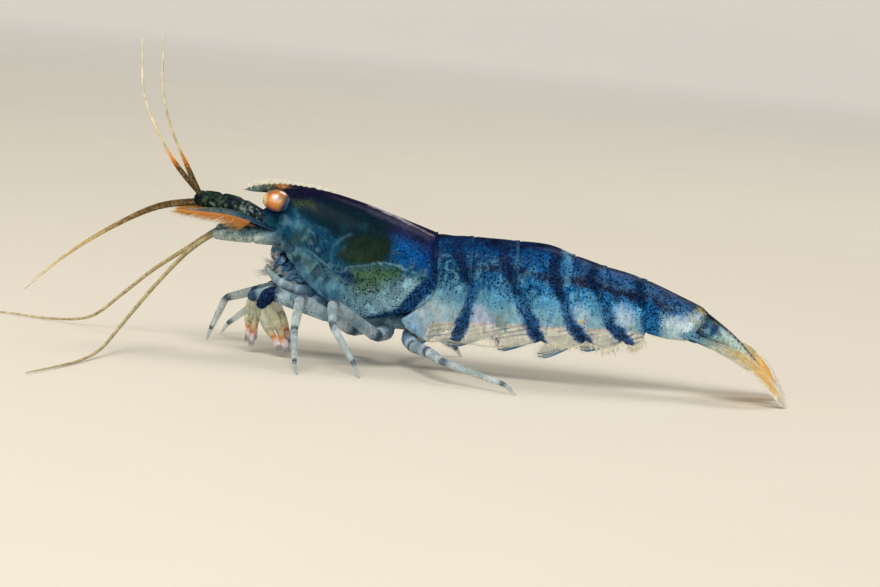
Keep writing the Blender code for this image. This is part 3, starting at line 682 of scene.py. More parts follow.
PLEON_MARKS = (
    ("white patches", LAVENDER, 0.6, 0.35, 0.1, ((1.45, 3.1, 0.4), (1.85, 2.95, 0.35))),
    ("white patches", PALE, 0.66, 0.35, 0.1, ((6.35, 3.8, 0.26), (6.6, 3.4, 0.36))),
    ("white patches", PALE, 0.7, 0.35, 0.1, ((8.5, 4.02, 0.3), (8.75, 3.55, 0.4))),
    ("white patches", (216, 234, 240), 0.86, 0.45, 0.1, ((10.9, 3.55, 0.34), (11.5, 3.4, 0.44),
        (12.05, 3.72, 0.36), (12.2, 4.02, 0.18))),
    ("yellow threads", (150, 152, 84), 0.45, 0.12, 0.3, ((11.95, 4.1, 0.05), (12.2, 3.7, 0.1),
        (12.25, 3.4, 0.06))),
    ("cyan glow", SKY, 0.7, 0.4, 0.35, ((2.37, 3.94, 0.5), (2.0, 4.3, 0.25))),
    ("cyan glow", SKY, 0.6, 0.35, 0.4, ((4.7, 4.25, 0.3), (5.05, 3.85, 0.25))),
    ("cyan glow", SKY, 0.55, 0.3, 0.4, ((6.75, 4.55, 0.22), (6.95, 4.1, 0.2))),
    ("side streak", BROWN, 0.6, 0.2, 0.7, ((0.2, 5.2, 0.08, 0.5), (1.06, 5.42, 0.14, 0.6),
        (2.2, 5.51, 0.16, 0.6), (3.65, 5.43, 0.16, 0.7), (4.83, 5.23, 0.16, 0.8),
        (5.98, 5.29, 0.2, 1.0), (6.95, 5.22, 0.23, 1.0), (8.12, 4.9, 0.24, 1.0),
        (9.23, 4.79, 0.24, 1.0), (10.22, 4.48, 0.3, 1.0), (11.15, 4.19, 0.17, 0.7))),
    ("side streak", INK, 0.55, 0.16, 0.95, ((0.2, 5.2, 0.04, 0.5), (2.2, 5.48, 0.09, 0.6),
        (4.83, 5.2, 0.09, 0.8), (5.98, 5.24, 0.1), (6.95, 5.16, 0.13), (8.12, 4.86, 0.12),
        (9.23, 4.72, 0.14), (10.22, 4.44, 0.2), (11.15, 4.15, 0.1, 0.6))),
    ("hind cone", (84, 126, 138), 0.7, 0.12, 0.35, ((2.3, 3.25, 0.46, 0.5), (2.55, 2.85, 0.3, 0.9),
        (2.8, 2.5, 0.14), (2.88, 2.3, 0.07))),
    ("dot cluster", BAND_BLUE, 0.2, 0.22, 0.85, ((1.35, 4.55, 0.2), (1.95, 4.62, 0.26),
        (2.6, 4.55, 0.22))),
    ("dot cluster", BAND_BLUE, 0.2, 0.22, 0.85, ((3.7, 4.75, 0.2), (4.15, 4.72, 0.28),
        (4.65, 4.6, 0.2))),
    ("blue thread", DEEP_BLUE, 0.6, 0.05, 0.0, ((5.15, 3.76, 0.03), (4.98, 3.2, 0.05),
        (4.8, 2.69, 0.03))),
    ("yellow spot", YELLOW, 0.6, 0.1, 0.0, ((6.5, 3.27, 0.12),)),
    ("yellow spot", YELLOW, 0.45, 0.1, 0.0, ((2.55, 2.98, 0.1),)),
    ("yellow spot", YELLOW, 0.5, 0.1, 0.0, ((9.05, 3.25, 0.07),)),
    ("front flap", (104, 158, 200), 0.6, 0.35, 0.3, ((-2.0, 2.4, 0.45), (-1.45, 1.8, 0.4))),
    *side_band("band 1", (1.02, 4.6, 0.1, 0.2), (0.93, 4.1, 0.16, 0.35), (0.86, 3.5, 0.24, 0.6),
        (0.8, 3.05, 0.3, 0.9), (0.68, 2.5, 0.35, 1.0), (0.5, 1.96, 0.33, 1.0),
        (0.36, 1.6, 0.18, 1.0)),
    *side_band("band 2", (3.2, 4.55, 0.22, 0.25), (3.42, 4.1, 0.32, 0.3), (3.67, 3.61, 0.38, 0.4),
        (3.95, 3.15, 0.38, 0.7), (4.28, 2.55, 0.37, 1.0), (4.6, 2.09, 0.31, 1.0),
        (4.88, 1.72, 0.12, 1.0)),
    *side_band("band 3", (5.5, 4.55, 0.22, 0.25), (5.66, 3.98, 0.28, 0.3), (5.84, 3.4, 0.31, 0.5),
        (6.1, 2.95, 0.33, 0.8), (6.5, 2.58, 0.34, 1.0), (6.88, 2.27, 0.28, 1.0),
        (7.16, 2.05, 0.14, 1.0)),
    *side_band("band 4", (7.42, 4.72, 0.22, 0.25), (7.7, 4.15, 0.28, 0.3), (7.88, 3.55, 0.31, 0.5),
        (8.06, 3.12, 0.32, 0.8), (8.42, 2.84, 0.34, 1.0), (8.8, 2.6, 0.3, 1.0),
        (9.12, 2.42, 0.15, 1.0)),
    ("band 5", (26, 116, 188), 0.88, 0.22, 0.8, ((9.7, 4.45, 0.27), (9.86, 4.02, 0.42),
        (10.01, 3.49, 0.5), (10.11, 3.05, 0.46))),
    ("band 5", BAND_NAVY, 0.2, 0.25, 1.0, ((9.7, 4.35, 0.2), (9.82, 3.8, 0.24), (9.95, 3.2, 0.24))),
    *back_stripe("back stripe 1", 0.35, (-0.02, 6.85, 0.34), (0.13, 6.02, 0.26), (0.42, 5.41, 0.23),
        (0.78, 4.7, 0.12)),
    *back_stripe("back stripe 2", 0.32, (2.45, 6.85, 0.38), (2.43, 6.08, 0.32), (2.73, 5.42, 0.29),
        (3.02, 4.87, 0.22), (3.2, 4.4, 0.14)),
    *back_stripe("back stripe 3", 0.32, (5.04, 6.7, 0.34), (4.93, 5.88, 0.32), (5.05, 5.31, 0.32),
        (5.3, 4.7, 0.24), (5.5, 4.3, 0.16)),
    *back_stripe("back stripe 4", 0.2, (6.94, 6.15, 0.28), (6.86, 5.49, 0.28), (7.11, 4.89, 0.22),
        (7.32, 4.5, 0.14)),
    *back_stripe("back stripe 5", 0.12, (9.25, 5.6, 0.28), (9.27, 5.07, 0.28), (9.4, 4.7, 0.28),
        (9.54, 4.41, 0.26)),
    ("seam rim", SKY, 0.22, 0.09, 0.1, ((0.8, 6.85, 0.02), (0.84, 5.8, 0.02), (0.96, 4.6, 0.02))),
    ("seam rim", SKY, 0.22, 0.1, 0.15, ((3.0, 6.85, 0.03), (3.1, 5.8, 0.02), (3.27, 4.5, 0.03),
        (3.3, 4.2, 0.02))),
    ("seam rim", SKY, 0.6, 0.24, 0.2, ((5.48, 6.6, 0.1), (5.62, 5.9, 0.16), (5.66, 5.1, 0.08))),
    ("seam rim", SKY, 0.24, 0.12, 0.15, ((7.42, 6.0, 0.05), (7.54, 5.4, 0.04), (7.3, 4.5, 0.03))),
    ("seam rim", SKY, 0.24, 0.12, 0.15, ((9.6, 5.52, 0.03), (9.62, 5.0, 0.03), (9.6, 4.6, 0.02))),
    # Painted highlights: pale gleams high on the hind margins of the back.
    ("back painted highlight", (150, 176, 196), 0.55, 0.07, 0.1, ((5.25, 6.62, 0.04), (5.6, 6.52, 0.06),
        (5.92, 6.38, 0.05))),
    ("back painted highlight", (150, 176, 196), 0.5, 0.07, 0.1, ((9.05, 5.7, 0.05), (9.3, 5.62, 0.06))),
    ("tail root yellow", YELLOW, 0.55, 0.14, 0.2, ((12.35, 4.4, 0.14), (12.6, 4.18, 0.1))),
)
CARAPACE_GROUND = (
    ("front", (14, 66, 96), 0.85, 0.6, 0.22, ((-8.4, 6.4, 0.9), (-7.0, 6.0, 0.8),
        (-5.9, 5.6, 0.6))),
    ("cheek light", (96, 150, 166), 0.3, 0.22, 0.1, ((-8.55, 6.75, 0.16), (-7.7, 6.55, 0.2))),
    ("front green", OLIVE, 0.4, 0.3, 0.2, ((-7.9, 5.95, 0.3), (-7.2, 5.95, 0.3))),
    ("gill cover", (116, 162, 176), 0.9, 0.45, 0.55, ((-5.0, 3.9, 0.6), (-4.0, 3.8, 0.9),
        (-2.6, 3.6, 0.9), (-1.6, 3.8, 0.6))),
    ("gill cover light", (152, 198, 216), 0.85, 0.45, 0.4, ((-3.8, 2.9, 0.4), (-2.9, 3.4, 0.5),
        (-2.1, 4.2, 0.4))),
    ("dark front edge", NAVY, 0.6, 0.25, 0.3, ((-8.35, 4.75, 0.25), (-7.85, 4.7, 0.28),
        (-7.2, 4.75, 0.2))),
    ("lower front", (40, 96, 130), 0.75, 0.35, 0.2, ((-7.42, 4.15, 0.4), (-6.7, 3.7, 0.5),
        (-5.8, 3.5, 0.5))),
    ("lower mark", NAVY, 0.55, 0.16, 0.4, ((-6.35, 3.85, 0.14), (-6.25, 3.4, 0.12),
        (-6.3, 2.95, 0.16))),
    ("lower mark", NAVY, 0.45, 0.16, 0.4, ((-5.95, 2.75, 0.12), (-5.6, 2.9, 0.12))),
    ("bright blue", (14, 88, 158), 0.92, 0.35, 0.65, ((-3.0, 6.2, 0.5), (-2.45, 5.85, 0.65),
        (-1.85, 5.6, 0.6), (-1.4, 5.35, 0.45))),
    ("bright blue", DEEP_BLUE, 0.6, 0.3, 0.6, ((-1.35, 6.2, 0.3), (-1.3, 5.4, 0.3))),
)
CARAPACE_MARKS = (
    ("dark zone", BOTTLE, 0.95, 0.4, 0.25, ((-7.6, 7.45, 0.3), (-6.4, 7.15, 0.72),
        (-5.0, 6.75, 0.92), (-3.95, 6.3, 0.82), (-3.65, 5.7, 0.5))),
    ("green under the arc", (66, 98, 46), 0.85, 0.4, 0.6, ((-5.2, 4.45, 0.2), (-4.6, 4.45, 0.42),
        (-3.7, 4.55, 0.46), (-2.9, 4.75, 0.26))),
    ("green under the arc", OLIVE, 0.55, 0.4, 0.7, ((-4.6, 3.95, 0.36), (-3.9, 3.9, 0.35))),
    ("dusky hind top", (40, 34, 74), 0.6, 0.35, 0.4, ((-3.2, 6.9, 0.25), (-2.1, 6.5, 0.25),
        (-1.2, 6.15, 0.25))),
    ("teal glimpses", TEAL, 0.3, 0.18, 0.2, ((-5.66, 6.72, 0.1, 1.0), (-5.2, 6.85, 0.05, 0.1),
        (-4.6, 6.9, 0.12, 1.0))),
    ("green behind the eye", OLIVE, 0.55, 0.2, 0.4, ((-8.05, 7.6, 0.16), (-7.55, 7.7, 0.18),
        (-7.1, 7.45, 0.1))),
    ("lens", (25, 42, 32), 0.96, 0.24, 0.12, ((-5.45, 5.42, 0.42), (-4.85, 5.58, 0.72),
        (-4.25, 5.75, 0.8), (-3.9, 5.9, 0.62))),
    ("lens core", OLIVE, 0.18, 0.35, 0.2, ((-5.3, 5.4, 0.28), (-4.65, 5.3, 0.34))),
    ("blue blotch", (6, 44, 86), 0.92, 0.26, 0.5, ((-6.2, 4.66, 0.12, 0.6), (-5.7, 4.5, 0.24),
        (-5.25, 4.34, 0.27), (-4.9, 4.08, 0.14, 0.7))),
    ("lens rim", (100, 150, 170), 0.34, 0.09, 0.0, ((-6.15, 5.15, 0.03, 0.4),
        (-6.05, 5.75, 0.05, 0.9), (-5.75, 6.15, 0.05, 1.0), (-5.35, 6.4, 0.03, 0.6),
        (-5.0, 6.5, 0.02, 0.1))),
    ("ridge", RIDGE, 0.9, 0.25, 0.5, ((-8.6, 8.4, 0.12), (-7.3, 8.4, 0.16), (-5.99, 8.25, 0.22),
        (-4.04, 7.85, 0.26), (-2.58, 7.38, 0.24), (-1.25, 6.85, 0.2))),
    # A painted sheen: a grey-purple strip along the ridge of the back.
    ("ridge painted sheen", (86, 80, 116), 0.32, 0.14, 0.2, ((-4.6, 7.62, 0.06, 0.3), (-3.6, 7.33, 0.08),
        (-2.5, 6.95, 0.09), (-1.2, 6.45, 0.08))),
    # A painted highlight: a thin pale line along the ridge.
    ("ridge painted highlight", (206, 198, 214), 0.6, 0.05, 0.0, ((-4.6, 7.84, 0.01, 0.4), (-3.6, 7.55, 0.02),
        (-2.5, 7.18, 0.02), (-1.15, 6.68, 0.02))),
    ("arc", (124, 172, 190), 0.52, 0.04, 0.0, ((-8.03, 5.47, 0.01, 0.4), (-7.18, 5.38, 0.025, 0.6),
        (-6.42, 4.86, 0.03, 0.8), (-5.61, 4.52, 0.03, 0.7), (-5.2, 4.82, 0.03, 0.8),
        (-4.46, 4.99, 0.03, 1.0), (-3.63, 5.2, 0.03, 1.0), (-2.86, 5.17, 0.03, 1.0),
        (-1.98, 4.88, 0.03, 0.9), (-1.12, 4.75, 0.02, 0.5))),
    ("hind edge", NAVY, 0.75, 0.2, 0.7, ((-1.08, 6.6, 0.2), (-1.0, 5.6, 0.22), (-0.9, 4.7, 0.24))),
    ("hind corner", (118, 176, 206), 0.85, 0.2, 0.12, ((-0.98, 3.7, 0.2), (-1.5, 3.0, 0.26),
        (-2.1, 2.35, 0.25))),
    ("horseshoe", (22, 84, 146), 0.95, 0.12, 0.95, ((-0.72, 4.72, 0.26), (-1.28, 4.22, 0.34),
        (-1.84, 3.57, 0.36), (-2.27, 2.95, 0.36), (-2.78, 2.55, 0.32), (-3.46, 2.36, 0.26),
        (-3.96, 2.34, 0.16))),
)
# A pale line over the flaps: (x, z), from front to back.
MUSCLE_LINE = (
    (-2.6, 1.1), (-1.55, 1.12), (-1.2, 1.45), (-0.92, 2.3), (0.08, 2.56), (1.34, 2.68),
    (3.06, 2.78), (5.02, 2.83), (7.09, 2.93), (8.8, 3.0), (10.2, 2.75), (12.5, 2.4),
)


def paint_marks(marks, points, colours, spots):
    """Lays each marking over what is there, its edge a little frayed."""
    x, z = points[:, 0], points[:, 2]
    fray = 0.35 * noise(points, 0.16, 3) + 0.35 * noise(points, 0.42, 4)
    for _, colour, strength, soft, dots, line in marks:
        share = strength * band(x, z, line, soft, fray * min(1.3 * soft, 0.42))
        colours = laid(colours, (colour, share))
        spots = spots + (dots - spots) * share
    return colours, spots


def rise_of(points, s):
    """How high a point of the armour stands: 1 on the back, 0 at the flank, below 0 on the flaps."""
    back, flank = at(BACK, s), at(FLANK, s)
    fall = back - flank
    place = points[:, (0, 2)] - flank
    return (place * fall).sum(axis=1) / (fall * fall).sum(axis=1)


def paint_pleon(points, s):
    """Pale below, blue on the flank and near black along the back, with the bands over it."""
    rise = rise_of(points, s)
    x, z = points[:, 0], points[:, 2]
    cloud = noise(points, 0.55, 1)
    ragged = rise + 0.13 * cloud + 0.07 * noise(points, 0.2, 2)
    colours = ramp(
        ragged, (-0.95, (164, 178, 186)), (-0.68, (146, 174, 184)), (-0.4, (106, 156, 182)),
        (-0.05, (56, 122, 166)), (0.25, (32, 102, 156)), (0.6, (20, 88, 144)),
        (0.84, (16, 68, 118)), (0.95, (16, 38, 78)), (1.0, (12, 14, 34)),
    )
    tone = np.interp(x, (-1, 1.2, 3, 5, 8, 11), (0.66, 0.84, 1.08, 1.6, 1.95, 1.8))
    lit = smoothstep(-0.55, 0.0, rise) * (1 - 0.4 * smoothstep(0.3, 0.65, rise))
    colours = colours * (1 + (tone - 1) * lit)[:, None]
    grey = np.interp(x, (4.5, 7.0, 11.5), (0, 0.16, 0.26)) * smoothstep(0.2, 0.7, rise)
    spots = np.interp(ragged, (-0.8, -0.4, -0.1, 0.15, 0.6, 1.0), (0.12, 0.25, 0.6, 0.76, 0.74, 0.6))
    pale = np.maximum(blots(points, 0.34, 11, 0.15, 0.55) * smoothstep(0.8, 0.3, rise),
                      blots(points, 0.17, 14, 0.25, 0.6) * smoothstep(0.9, 0.4, rise))
    blot = blots(points * (1, 1, 0.5), 0.22, 12, 0.15, 0.55) * smoothstep(-0.5, 0.2, rise)
    colours = laid(colours, ((110, 132, 150), grey), ((122, 182, 200), 0.4 * pale),
                   ((12, 50, 100), 0.6 * blot))
    # The glassy flaps, below the muscle line.
    below = z - at(MUSCLE_LINE, x)
    flap = smoothstep(0.05, -0.06, below + 0.04 * cloud)
    along = z - 0.3 * x + 0.1 * noise(points, 0.9, 8)
    fine = 0.5 + 0.5 * np.sin(along * 26 + 3.0 * noise(points, 1.5, 5))
    stretched = points * (0.4, 1, 1.5)
    threads = smoothstep(0.66, 0.95, fine) * blots(stretched, 0.5, 6, -0.2, 0.3)
    gleams = smoothstep(0.28, 0.0, fine) * blots(stretched, 0.5, 7, -0.1, 0.5)
    clear = laid((230, 229, 212), ((66, 102, 130), 0.9 * threads), ((250, 248, 232), 0.8 * gleams))
    line = smoothstep(0.09, 0.02, np.abs(below + 0.03)) * (x < 8.5)
    cluster = band(x, z, ((2.35, 2.05, 0.22), (2.45, 1.85, 0.2)), 0.2)
    base = laid(colours, (clear, flap), ((216, 184, 168), 0.55 * line),
                ((222, 218, 224), 0.75 * cluster))
    spots = np.maximum(spots * (1 - 0.3 * pale) * (1 - flap) + 0.04 * flap, 0.8 * cluster)
    colours, spots = paint_marks(PLEON_MARKS, points, base, spots)
    marked = smoothstep(0.02, 0.25, np.abs(colours - base).sum(axis=1))
    clearness = flap * (0.56 - 0.4 * threads - 0.2 * gleams) * (1 - 0.9 * marked)
    return colours, spots, np.clip(1 - clearness * (1 - 0.8 * cluster), 0.25, 1), flap


def paint_carapace(points, s):
    """Mottled teal and blue over the gills, black-green above."""
    rise = rise_of(points, s)
    x = points[:, 0]
    ragged = rise + 0.1 * noise(points, 0.6, 1) + 0.05 * noise(points, 0.2, 2)
    colours = ramp(ragged, (-1.0, STEEL), (-0.55, GREY_TEAL), (-0.15, (26, 82, 108)),
                   (0.35, (18, 68, 94)), (0.7, BOTTLE), (1.0, RIDGE))
    spots = np.interp(ragged, (-1.0, -0.2, 0.4, 1.0), (0.4, 0.5, 0.4, 0.4))
    front = smoothstep(-4.8, -6.4, x)
    low = smoothstep(0.62, 0.15, rise)
    veins = smoothstep(0.09, 0.0, np.abs(noise(points * (1, 1, 0.7), 0.4, 13))) * front * low
    colours, spots = paint_marks(CARAPACE_GROUND, points, colours, spots)
    colours = laid(
        colours,
        ((8, 34, 66), (0.4 + 0.3 * front) * (blots(points, 0.42, 8, 0.08, 0.5) * low)),
        ((120, 166, 186), 0.26 * (blots(points, 0.3, 9, 0.15, 0.6) * low)),
        ((112, 164, 180), 0.2 * veins),
    )
    spots = spots * (1 - 0.5 * front * smoothstep(0.7, 0.3, rise))
    colours, spots = paint_marks(CARAPACE_MARKS, points, colours, spots)
    return colours, spots, np.ones(len(points)), np.zeros(len(points))


def trunk_surface(margin, s, level):
    """(x, half width, z) of the armour at seam places s and levels: 0 the back, 1 the flank and 2
    the lower margin."""
    back, flank, half, edge = at(BACK, s), at(FLANK, s), at(HALF_WIDTH, s), at(margin, s)
    angle = np.clip(level, 0, 1) * np.pi / 2
    rise = np.clip(np.cos(angle), 0, 1) ** (2 / ARCH_POWER)
    rise = np.where(level >= 1, 0.0, rise)
    arch = flank + (back - flank) * rise[..., None]
    down = np.clip(level - 1, 0, 1)[..., None]
    fall = unit(flank - back)
    bend = flank + fall * np.linalg.norm(edge - flank, axis=-1)[..., None] / 2
    flap = flank * (1 - down) ** 2 + bend * 2 * down * (1 - down) + edge * down * down
    place = np.where((level <= 1)[..., None], arch, flap)
    across = np.where(level <= 1, half * np.sin(angle) ** (2 / ARCH_POWER),
                      half * (1 - FLAP_LEAN * down[..., 0] ** 2))
    return place[..., 0], across, place[..., 1]


def plate_shape(name):
    """The left half of one ring of the armour, from the back down its outside, round its rim, up
    the inside of its flap and across the belly. Rows of points, and the rows' seam places."""
    first, last, margin, belly = PLATES[name]
    is_front, is_last = name == "carapace", name == "pleon_segment_6"
    ends = at(BACK, (first, last))
    per_mm = (last - first) / np.linalg.norm(ends[1] - ends[0])
    low = first if is_front else first - SEAM_OVERLAP * per_mm * 0.6
    high = last + SEAM_OVERLAP * per_mm * (0.3 if is_last else 0.6)
    stations = np.linspace(low, high, int((high - low) / per_mm / PLATE_STEP))
    levels = np.concatenate([
        np.linspace(0, 1, ARCH_COLUMNS + 1)[:-1], np.linspace(1, 2, FLAP_COLUMNS),
        [2.0] * RIM_COLUMNS, np.linspace(2, 1 + belly, INSIDE_COLUMNS),
    ])
    s, level = np.meshgrid(stations, levels, indexing="ij")
    corner = 1 - 0.05 * np.abs(2 * ((s - low) / (high - low)) - 1) ** 8  # rounds the lower corners
    rounded = np.where(level > 1, 1 + (level - 1) * corner, level)
    seam = s
    if is_front:  # the eye's notch, the tooth under it, and the lower front drawn back
        notch = 0.055 * bell(level, 0.62, 0.22) - 0.035 * bell(level, 1.08, 0.05)
        lower = 0.05 * smoothstep(1.5, 2.0, level)
        seam = s + (notch + lower) * np.clip(1 - (s - low) / 0.1, 0, 1)
    x, half, z = trunk_surface(margin, np.clip(seam, 0, LAST_SEAM), rounded)
    points = np.stack([x, -half, z], axis=-1)
    run, fall = np.gradient(points, axis=0), np.gradient(points, axis=1)
    fall[:, OUTSIDE_COLUMNS - 1:] = fall[:, OUTSIDE_COLUMNS - 2:OUTSIDE_COLUMNS - 1]
    normal = np.cross(fall, run)
    normal /= np.maximum(np.linalg.norm(normal, axis=-1), 1e-9)[..., None]
    normal *= np.sign((normal[..., 1] * -1).mean())
    # Behind, each plate lifts a little over the next, and in front it tucks in under the last.
    from_front, from_back = (s - low) / per_mm, (high - s) / per_mm
    pleura = smoothstep(0.95, 1.25, level)
    lip = 0.025 * bell(from_back, 0, 0.16) - 0.015 * bell(from_back, 0.3, 0.1)
    tuck = -0.1 * bell(from_front, 0, 0.22)
    if is_last:
        lip = -0.12 * bell(from_back, 0, 0.25)
    if is_front:
        tuck = 0.03 * bell(from_front, 0, 0.1)
    if name == "pleon_segment_1":  # its flaps lie under the second's
        lip = lip * (1 - 2.2 * pleura)
    if name == "pleon_segment_2":  # and these over the first's
        tuck = tuck * (1 - 1.6 * pleura)
    wall = np.interp(np.arange(len(levels)) - OUTSIDE_COLUMNS, (-1, RIM_COLUMNS), (0, PLATE_WALL))
    points = points + normal * (lip + tuck)[..., None] - normal * wall[:, None]
    rim = slice(OUTSIDE_COLUMNS, OUTSIDE_COLUMNS + RIM_COLUMNS)
    points[:, rim, 2] -= np.array((0.3, 0.42, 0.3)) * PLATE_WALL
    across = np.linspace(1, 0, BELLY_COLUMNS + 1)[1:]
    floor = np.repeat(points[:, -1:], BELLY_COLUMNS, axis=1)
    floor[..., 1] *= across
    floor[..., 2] -= 0.22 * (1 - across ** 2) * (0.3 if is_front else 1.0)
    half_ring = np.concatenate([points, floor], axis=1)
    inward = np.concatenate([normal, np.zeros_like(floor)], axis=1) * PLATE_WALL
    half_ring = np.concatenate([half_ring[:1] - inward[:1], half_ring, half_ring[-1:] - inward[-1:]])
    return half_ring, np.concatenate([stations[:1], stations, stations[-1:]])


def build_plate(name):
    """One ring of the armour, painted outside, painted paler within against its shade, and with its flaps
    glassy.
    """
    half_ring, places = plate_shape(name)
    ring = np.concatenate([half_ring, half_ring[:, -2:0:-1] * (1, -1, 1)], axis=1)
    rows, columns = ring.shape[:2]
    patch = Patch(ring, grid_faces(rows, columns))
    seams = np.clip(np.repeat(places, columns), *PLATES[name][:2])
    painter = paint_carapace if name == "carapace" else paint_pleon
    colours, spots, solid, flap = painter(patch.points, seams)
    half_row = np.arange(half_ring.shape[1])
    column = np.tile(np.concatenate([half_row, half_row[-2:0:-1]]), rows)
    under = column >= len(half_row) - BELLY_COLUMNS
    inside = (column >= OUTSIDE_COLUMNS + RIM_COLUMNS) & ~under
    solid = np.where(under, 1.0, np.where(inside & (solid < 1), solid * 0.15, solid))
    # The inside of the flaps is painted paler, painted light against the shade that falls within them.
    patch.paint(laid(colours, (STEEL, 0.7 * under), (CREAM, 0.4 * inside)),
                np.where(under | inside, spots * 0.3, spots), solid)
    corners = np.array(patch.faces)
    glassy = np.where(under, 0.0, flap)[corners].min(axis=1) > 0
    patch.slots = (glassy & (solid[corners].max(axis=1) < 1)).astype(int).tolist()
    piece(name, [patch], SHELL, FLAP)


# ---- the head --------------------------------------------------------------------------------


def build_head():
    """The front of the head between the eyes and the mouth."""
    line = smooth_line(((-7.6, 0, 6.35), (-8.6, 0, 6.38), (-9.4, 0, 6.42), (-9.98, 0, 6.42)), 30)
    t = np.linspace(0, 1, 30)
    front = rod(line, at(((0, 0.9), (0.4, 1.02), (0.75, 0.92), (1, 0.45)), t),
                at(((0, 1.0), (0.4, 0.98), (0.75, 0.8), (1, 0.38)), t), sides=48)
    p = front.points
    p += 0.03 * noise(p, 0.35, 6)[:, None] * (0, 1, 1)
    level = p[:, 2] + 0.2 * noise(p, 0.4, 7)
    front.paint(ramp(level, (5.4, GREY_TEAL), (6.0, TEAL), (6.6, TEAL), (7.2, NAVY)), 0.35)
    piece("head", [front], SHELL)


def build_rostrum():
    """The lance over the eyes, toothed and bristly along its top."""
    t = np.linspace(0, 1, 120)
    line = smooth_line(ROSTRUM_LINE, 120)
    heights = at(((0, 0.24), (0.35, 0.26), (0.65, 0.21), (0.85, 0.14), (1, 0.02)), t)
    widths = at(((0, 0.42), (0.35, 0.26), (0.7, 0.16), (0.9, 0.1), (1, 0.02)), t)
    blade = rod(line, widths, heights, sides=24)
    p = blade.points
    middle = np.interp(-p[:, 0], -line[:, 0], line[:, 2])
    up = np.where(p[:, 2] > middle, np.abs(np.sin(blade.turn)), 0) ** 4
    saw = (blade.share * ROSTRUM_TEETH) % 1.0
    tooth = np.where(blade.share > 0.97, 0, np.maximum(0, 1 - saw * 1.4)) * 0.06
    p[:, 2] += up * tooth
    colours = ramp(blade.share + 0.15 * noise(p, 0.2, 2), (0, RIDGE), (0.35, BOTTLE),
                   (0.65, (58, 74, 50)), (1.0, (136, 160, 156)))
    blush = bell(p[:, 0], -8.95, 0.3) * smoothstep(8.1, 8.32, p[:, 2])
    blade.paint(laid(
        colours,
        ((150, 160, 120), 0.5 * (blots(p, 0.12, 4, 0.2, 0.6) * (blade.share > 0.3))),
        ((186, 150, 110), 0.5 * up * smoothstep(0.3, 0.5, blade.share)),
        ((226, 150, 70), 0.65 * blush),
    ), 0.5)
    piece("rostrum", [blade], SHELL)
    random = np.random.default_rng(23)
    share = np.sort(random.uniform(0.02, 0.96, ROSTRUM_BRISTLES))
    roots = smooth_line(ROSTRUM_LINE, 200)[(share * 199).astype(int)]
    roots[:, 1] += random.uniform(-0.05, 0.05, len(share)) * (1 - share)
    roots[:, 2] += np.interp(share, t, heights) * 0.98
    back = smooth_line(((-7.9, 0, 8.39), (-7.1, 0, 8.31), (-6.2, 0, 8.18)), 26)
    roots = np.concatenate([roots, back])
    ways = (-0.8, 0.0, 1.0) + random.normal(0, 0.16, (len(roots), 3))
    tuft = Tuft()
    tuft.add(roots, ways, random.uniform(0.22, 0.36, len(roots)))
    tuft.build("rostrum_bristles", ROSTRUM_BRISTLE, (0, (238, 234, 212)))


def build_eye(side):
    """A copper eye with a painted pearly highlight and a dark rear rim, on its stalk."""
    sign = SIDES[side]
    rings, sides = 36, 56
    axis = unit((-0.34, sign * 0.92, 0.2))
    lift = unit(np.cross(axis, (0, 1, 0)))
    polar, turn = (g[..., None] for g in np.meshgrid(
        np.linspace(0.02, np.pi * 0.8, rings), np.arange(sides) * 2 * np.pi / sides, indexing="ij"))
    around = lift * np.cos(turn) + np.cross(axis, lift) * np.sin(turn)
    ball = axis * np.cos(polar) + around * np.sin(polar)
    points = mirrored(EYE_CENTRE, side) + ball * EYE_RADIUS * np.array((1.14, 1.0, 0.91))
    ends = [tuple(range(sides)), tuple(range((rings - 1) * sides, rings * sides))]
    patch = Patch(points, grid_faces(rings, sides) + ends)
    flat = ball.reshape(-1, 3)
    away = np.degrees(np.arccos(np.clip(flat @ unit((0.1, sign * 0.97, 0.2)), -1, 1)))
    # The eye's own copper, dark towards the rim, with painted eyeshine in its pale middle on the outward
    # face.
    colours = ramp(
        away + 5 * noise(patch.points, 0.25, 3), (0, (236, 204, 160)), (12, (226, 176, 96)),
        (24, (214, 140, 38)), (38, (204, 118, 16)), (54, (182, 98, 14)), (68, (124, 74, 36)),
        (80, (40, 40, 54)),
    )
    # A painted highlight: a pearly gleam high on the eye's outward face.
    pearl_highlight = np.exp(-(((flat[:, 0] - 0.02) / 0.26) ** 2 + ((flat[:, 2] - 0.3) / 0.26) ** 2))
    rear = flat[:, 0] - 0.25 * flat[:, 2]
    patch.paint(laid(
        colours,
        ((240, 232, 244), 0.84 * pearl_highlight * (flat[:, 1] * sign > 0)),
        ((132, 78, 56), 0.5 * blots(flat * (1, 1, 2.4), 0.42, 8, 0.1, 0.45)),
        ((246, 220, 158), 0.7 * smoothstep(-0.55, -0.85, flat[:, 0])),
        ((112, 92, 84), 0.8 * smoothstep(0.34, 0.5, rear)),
        ((24, 38, 72), smoothstep(0.5, 0.7, rear)),
        ((96, 146, 186), 0.8 * smoothstep(0.08, 0.02, np.abs(rear - 0.86))),
    ))
    piece("eye_" + side, [patch], EYE, slot="eye")
    widths = at(((0, 0.3), (0.5, 0.34), (0.85, 0.47), (1, 0.5)), np.linspace(0, 1, 16))
    line = smooth_line(mirrored(EYESTALK, side), 16)
    stalk = rod(line, widths, widths, side=(0, 0, 1), sides=28)
    level = stalk.share + 0.2 * noise(stalk.points, 0.3, 5)
    stalk.paint(ramp(level, (0, TEAL), (0.5, DEEP_BLUE), (1, NAVY)), 0.5)
    piece("eyestalk_" + side, [stalk], SHELL)


# Whiskers of the jaws and the jaw feet: root, way, how many, and the longest.
WHISKERS = (
    ((-9.02, 0.3, 4.45), (-1.0, 0.1, 0.16), 7, 0.85),
    ((-9.1, 0.5, 4.02), (-1.0, 0.15, -0.2), 16, 1.0),
    ((-8.95, 0.2, 5.0), (-1.0, 0.2, -0.5), 6, 0.45),
)


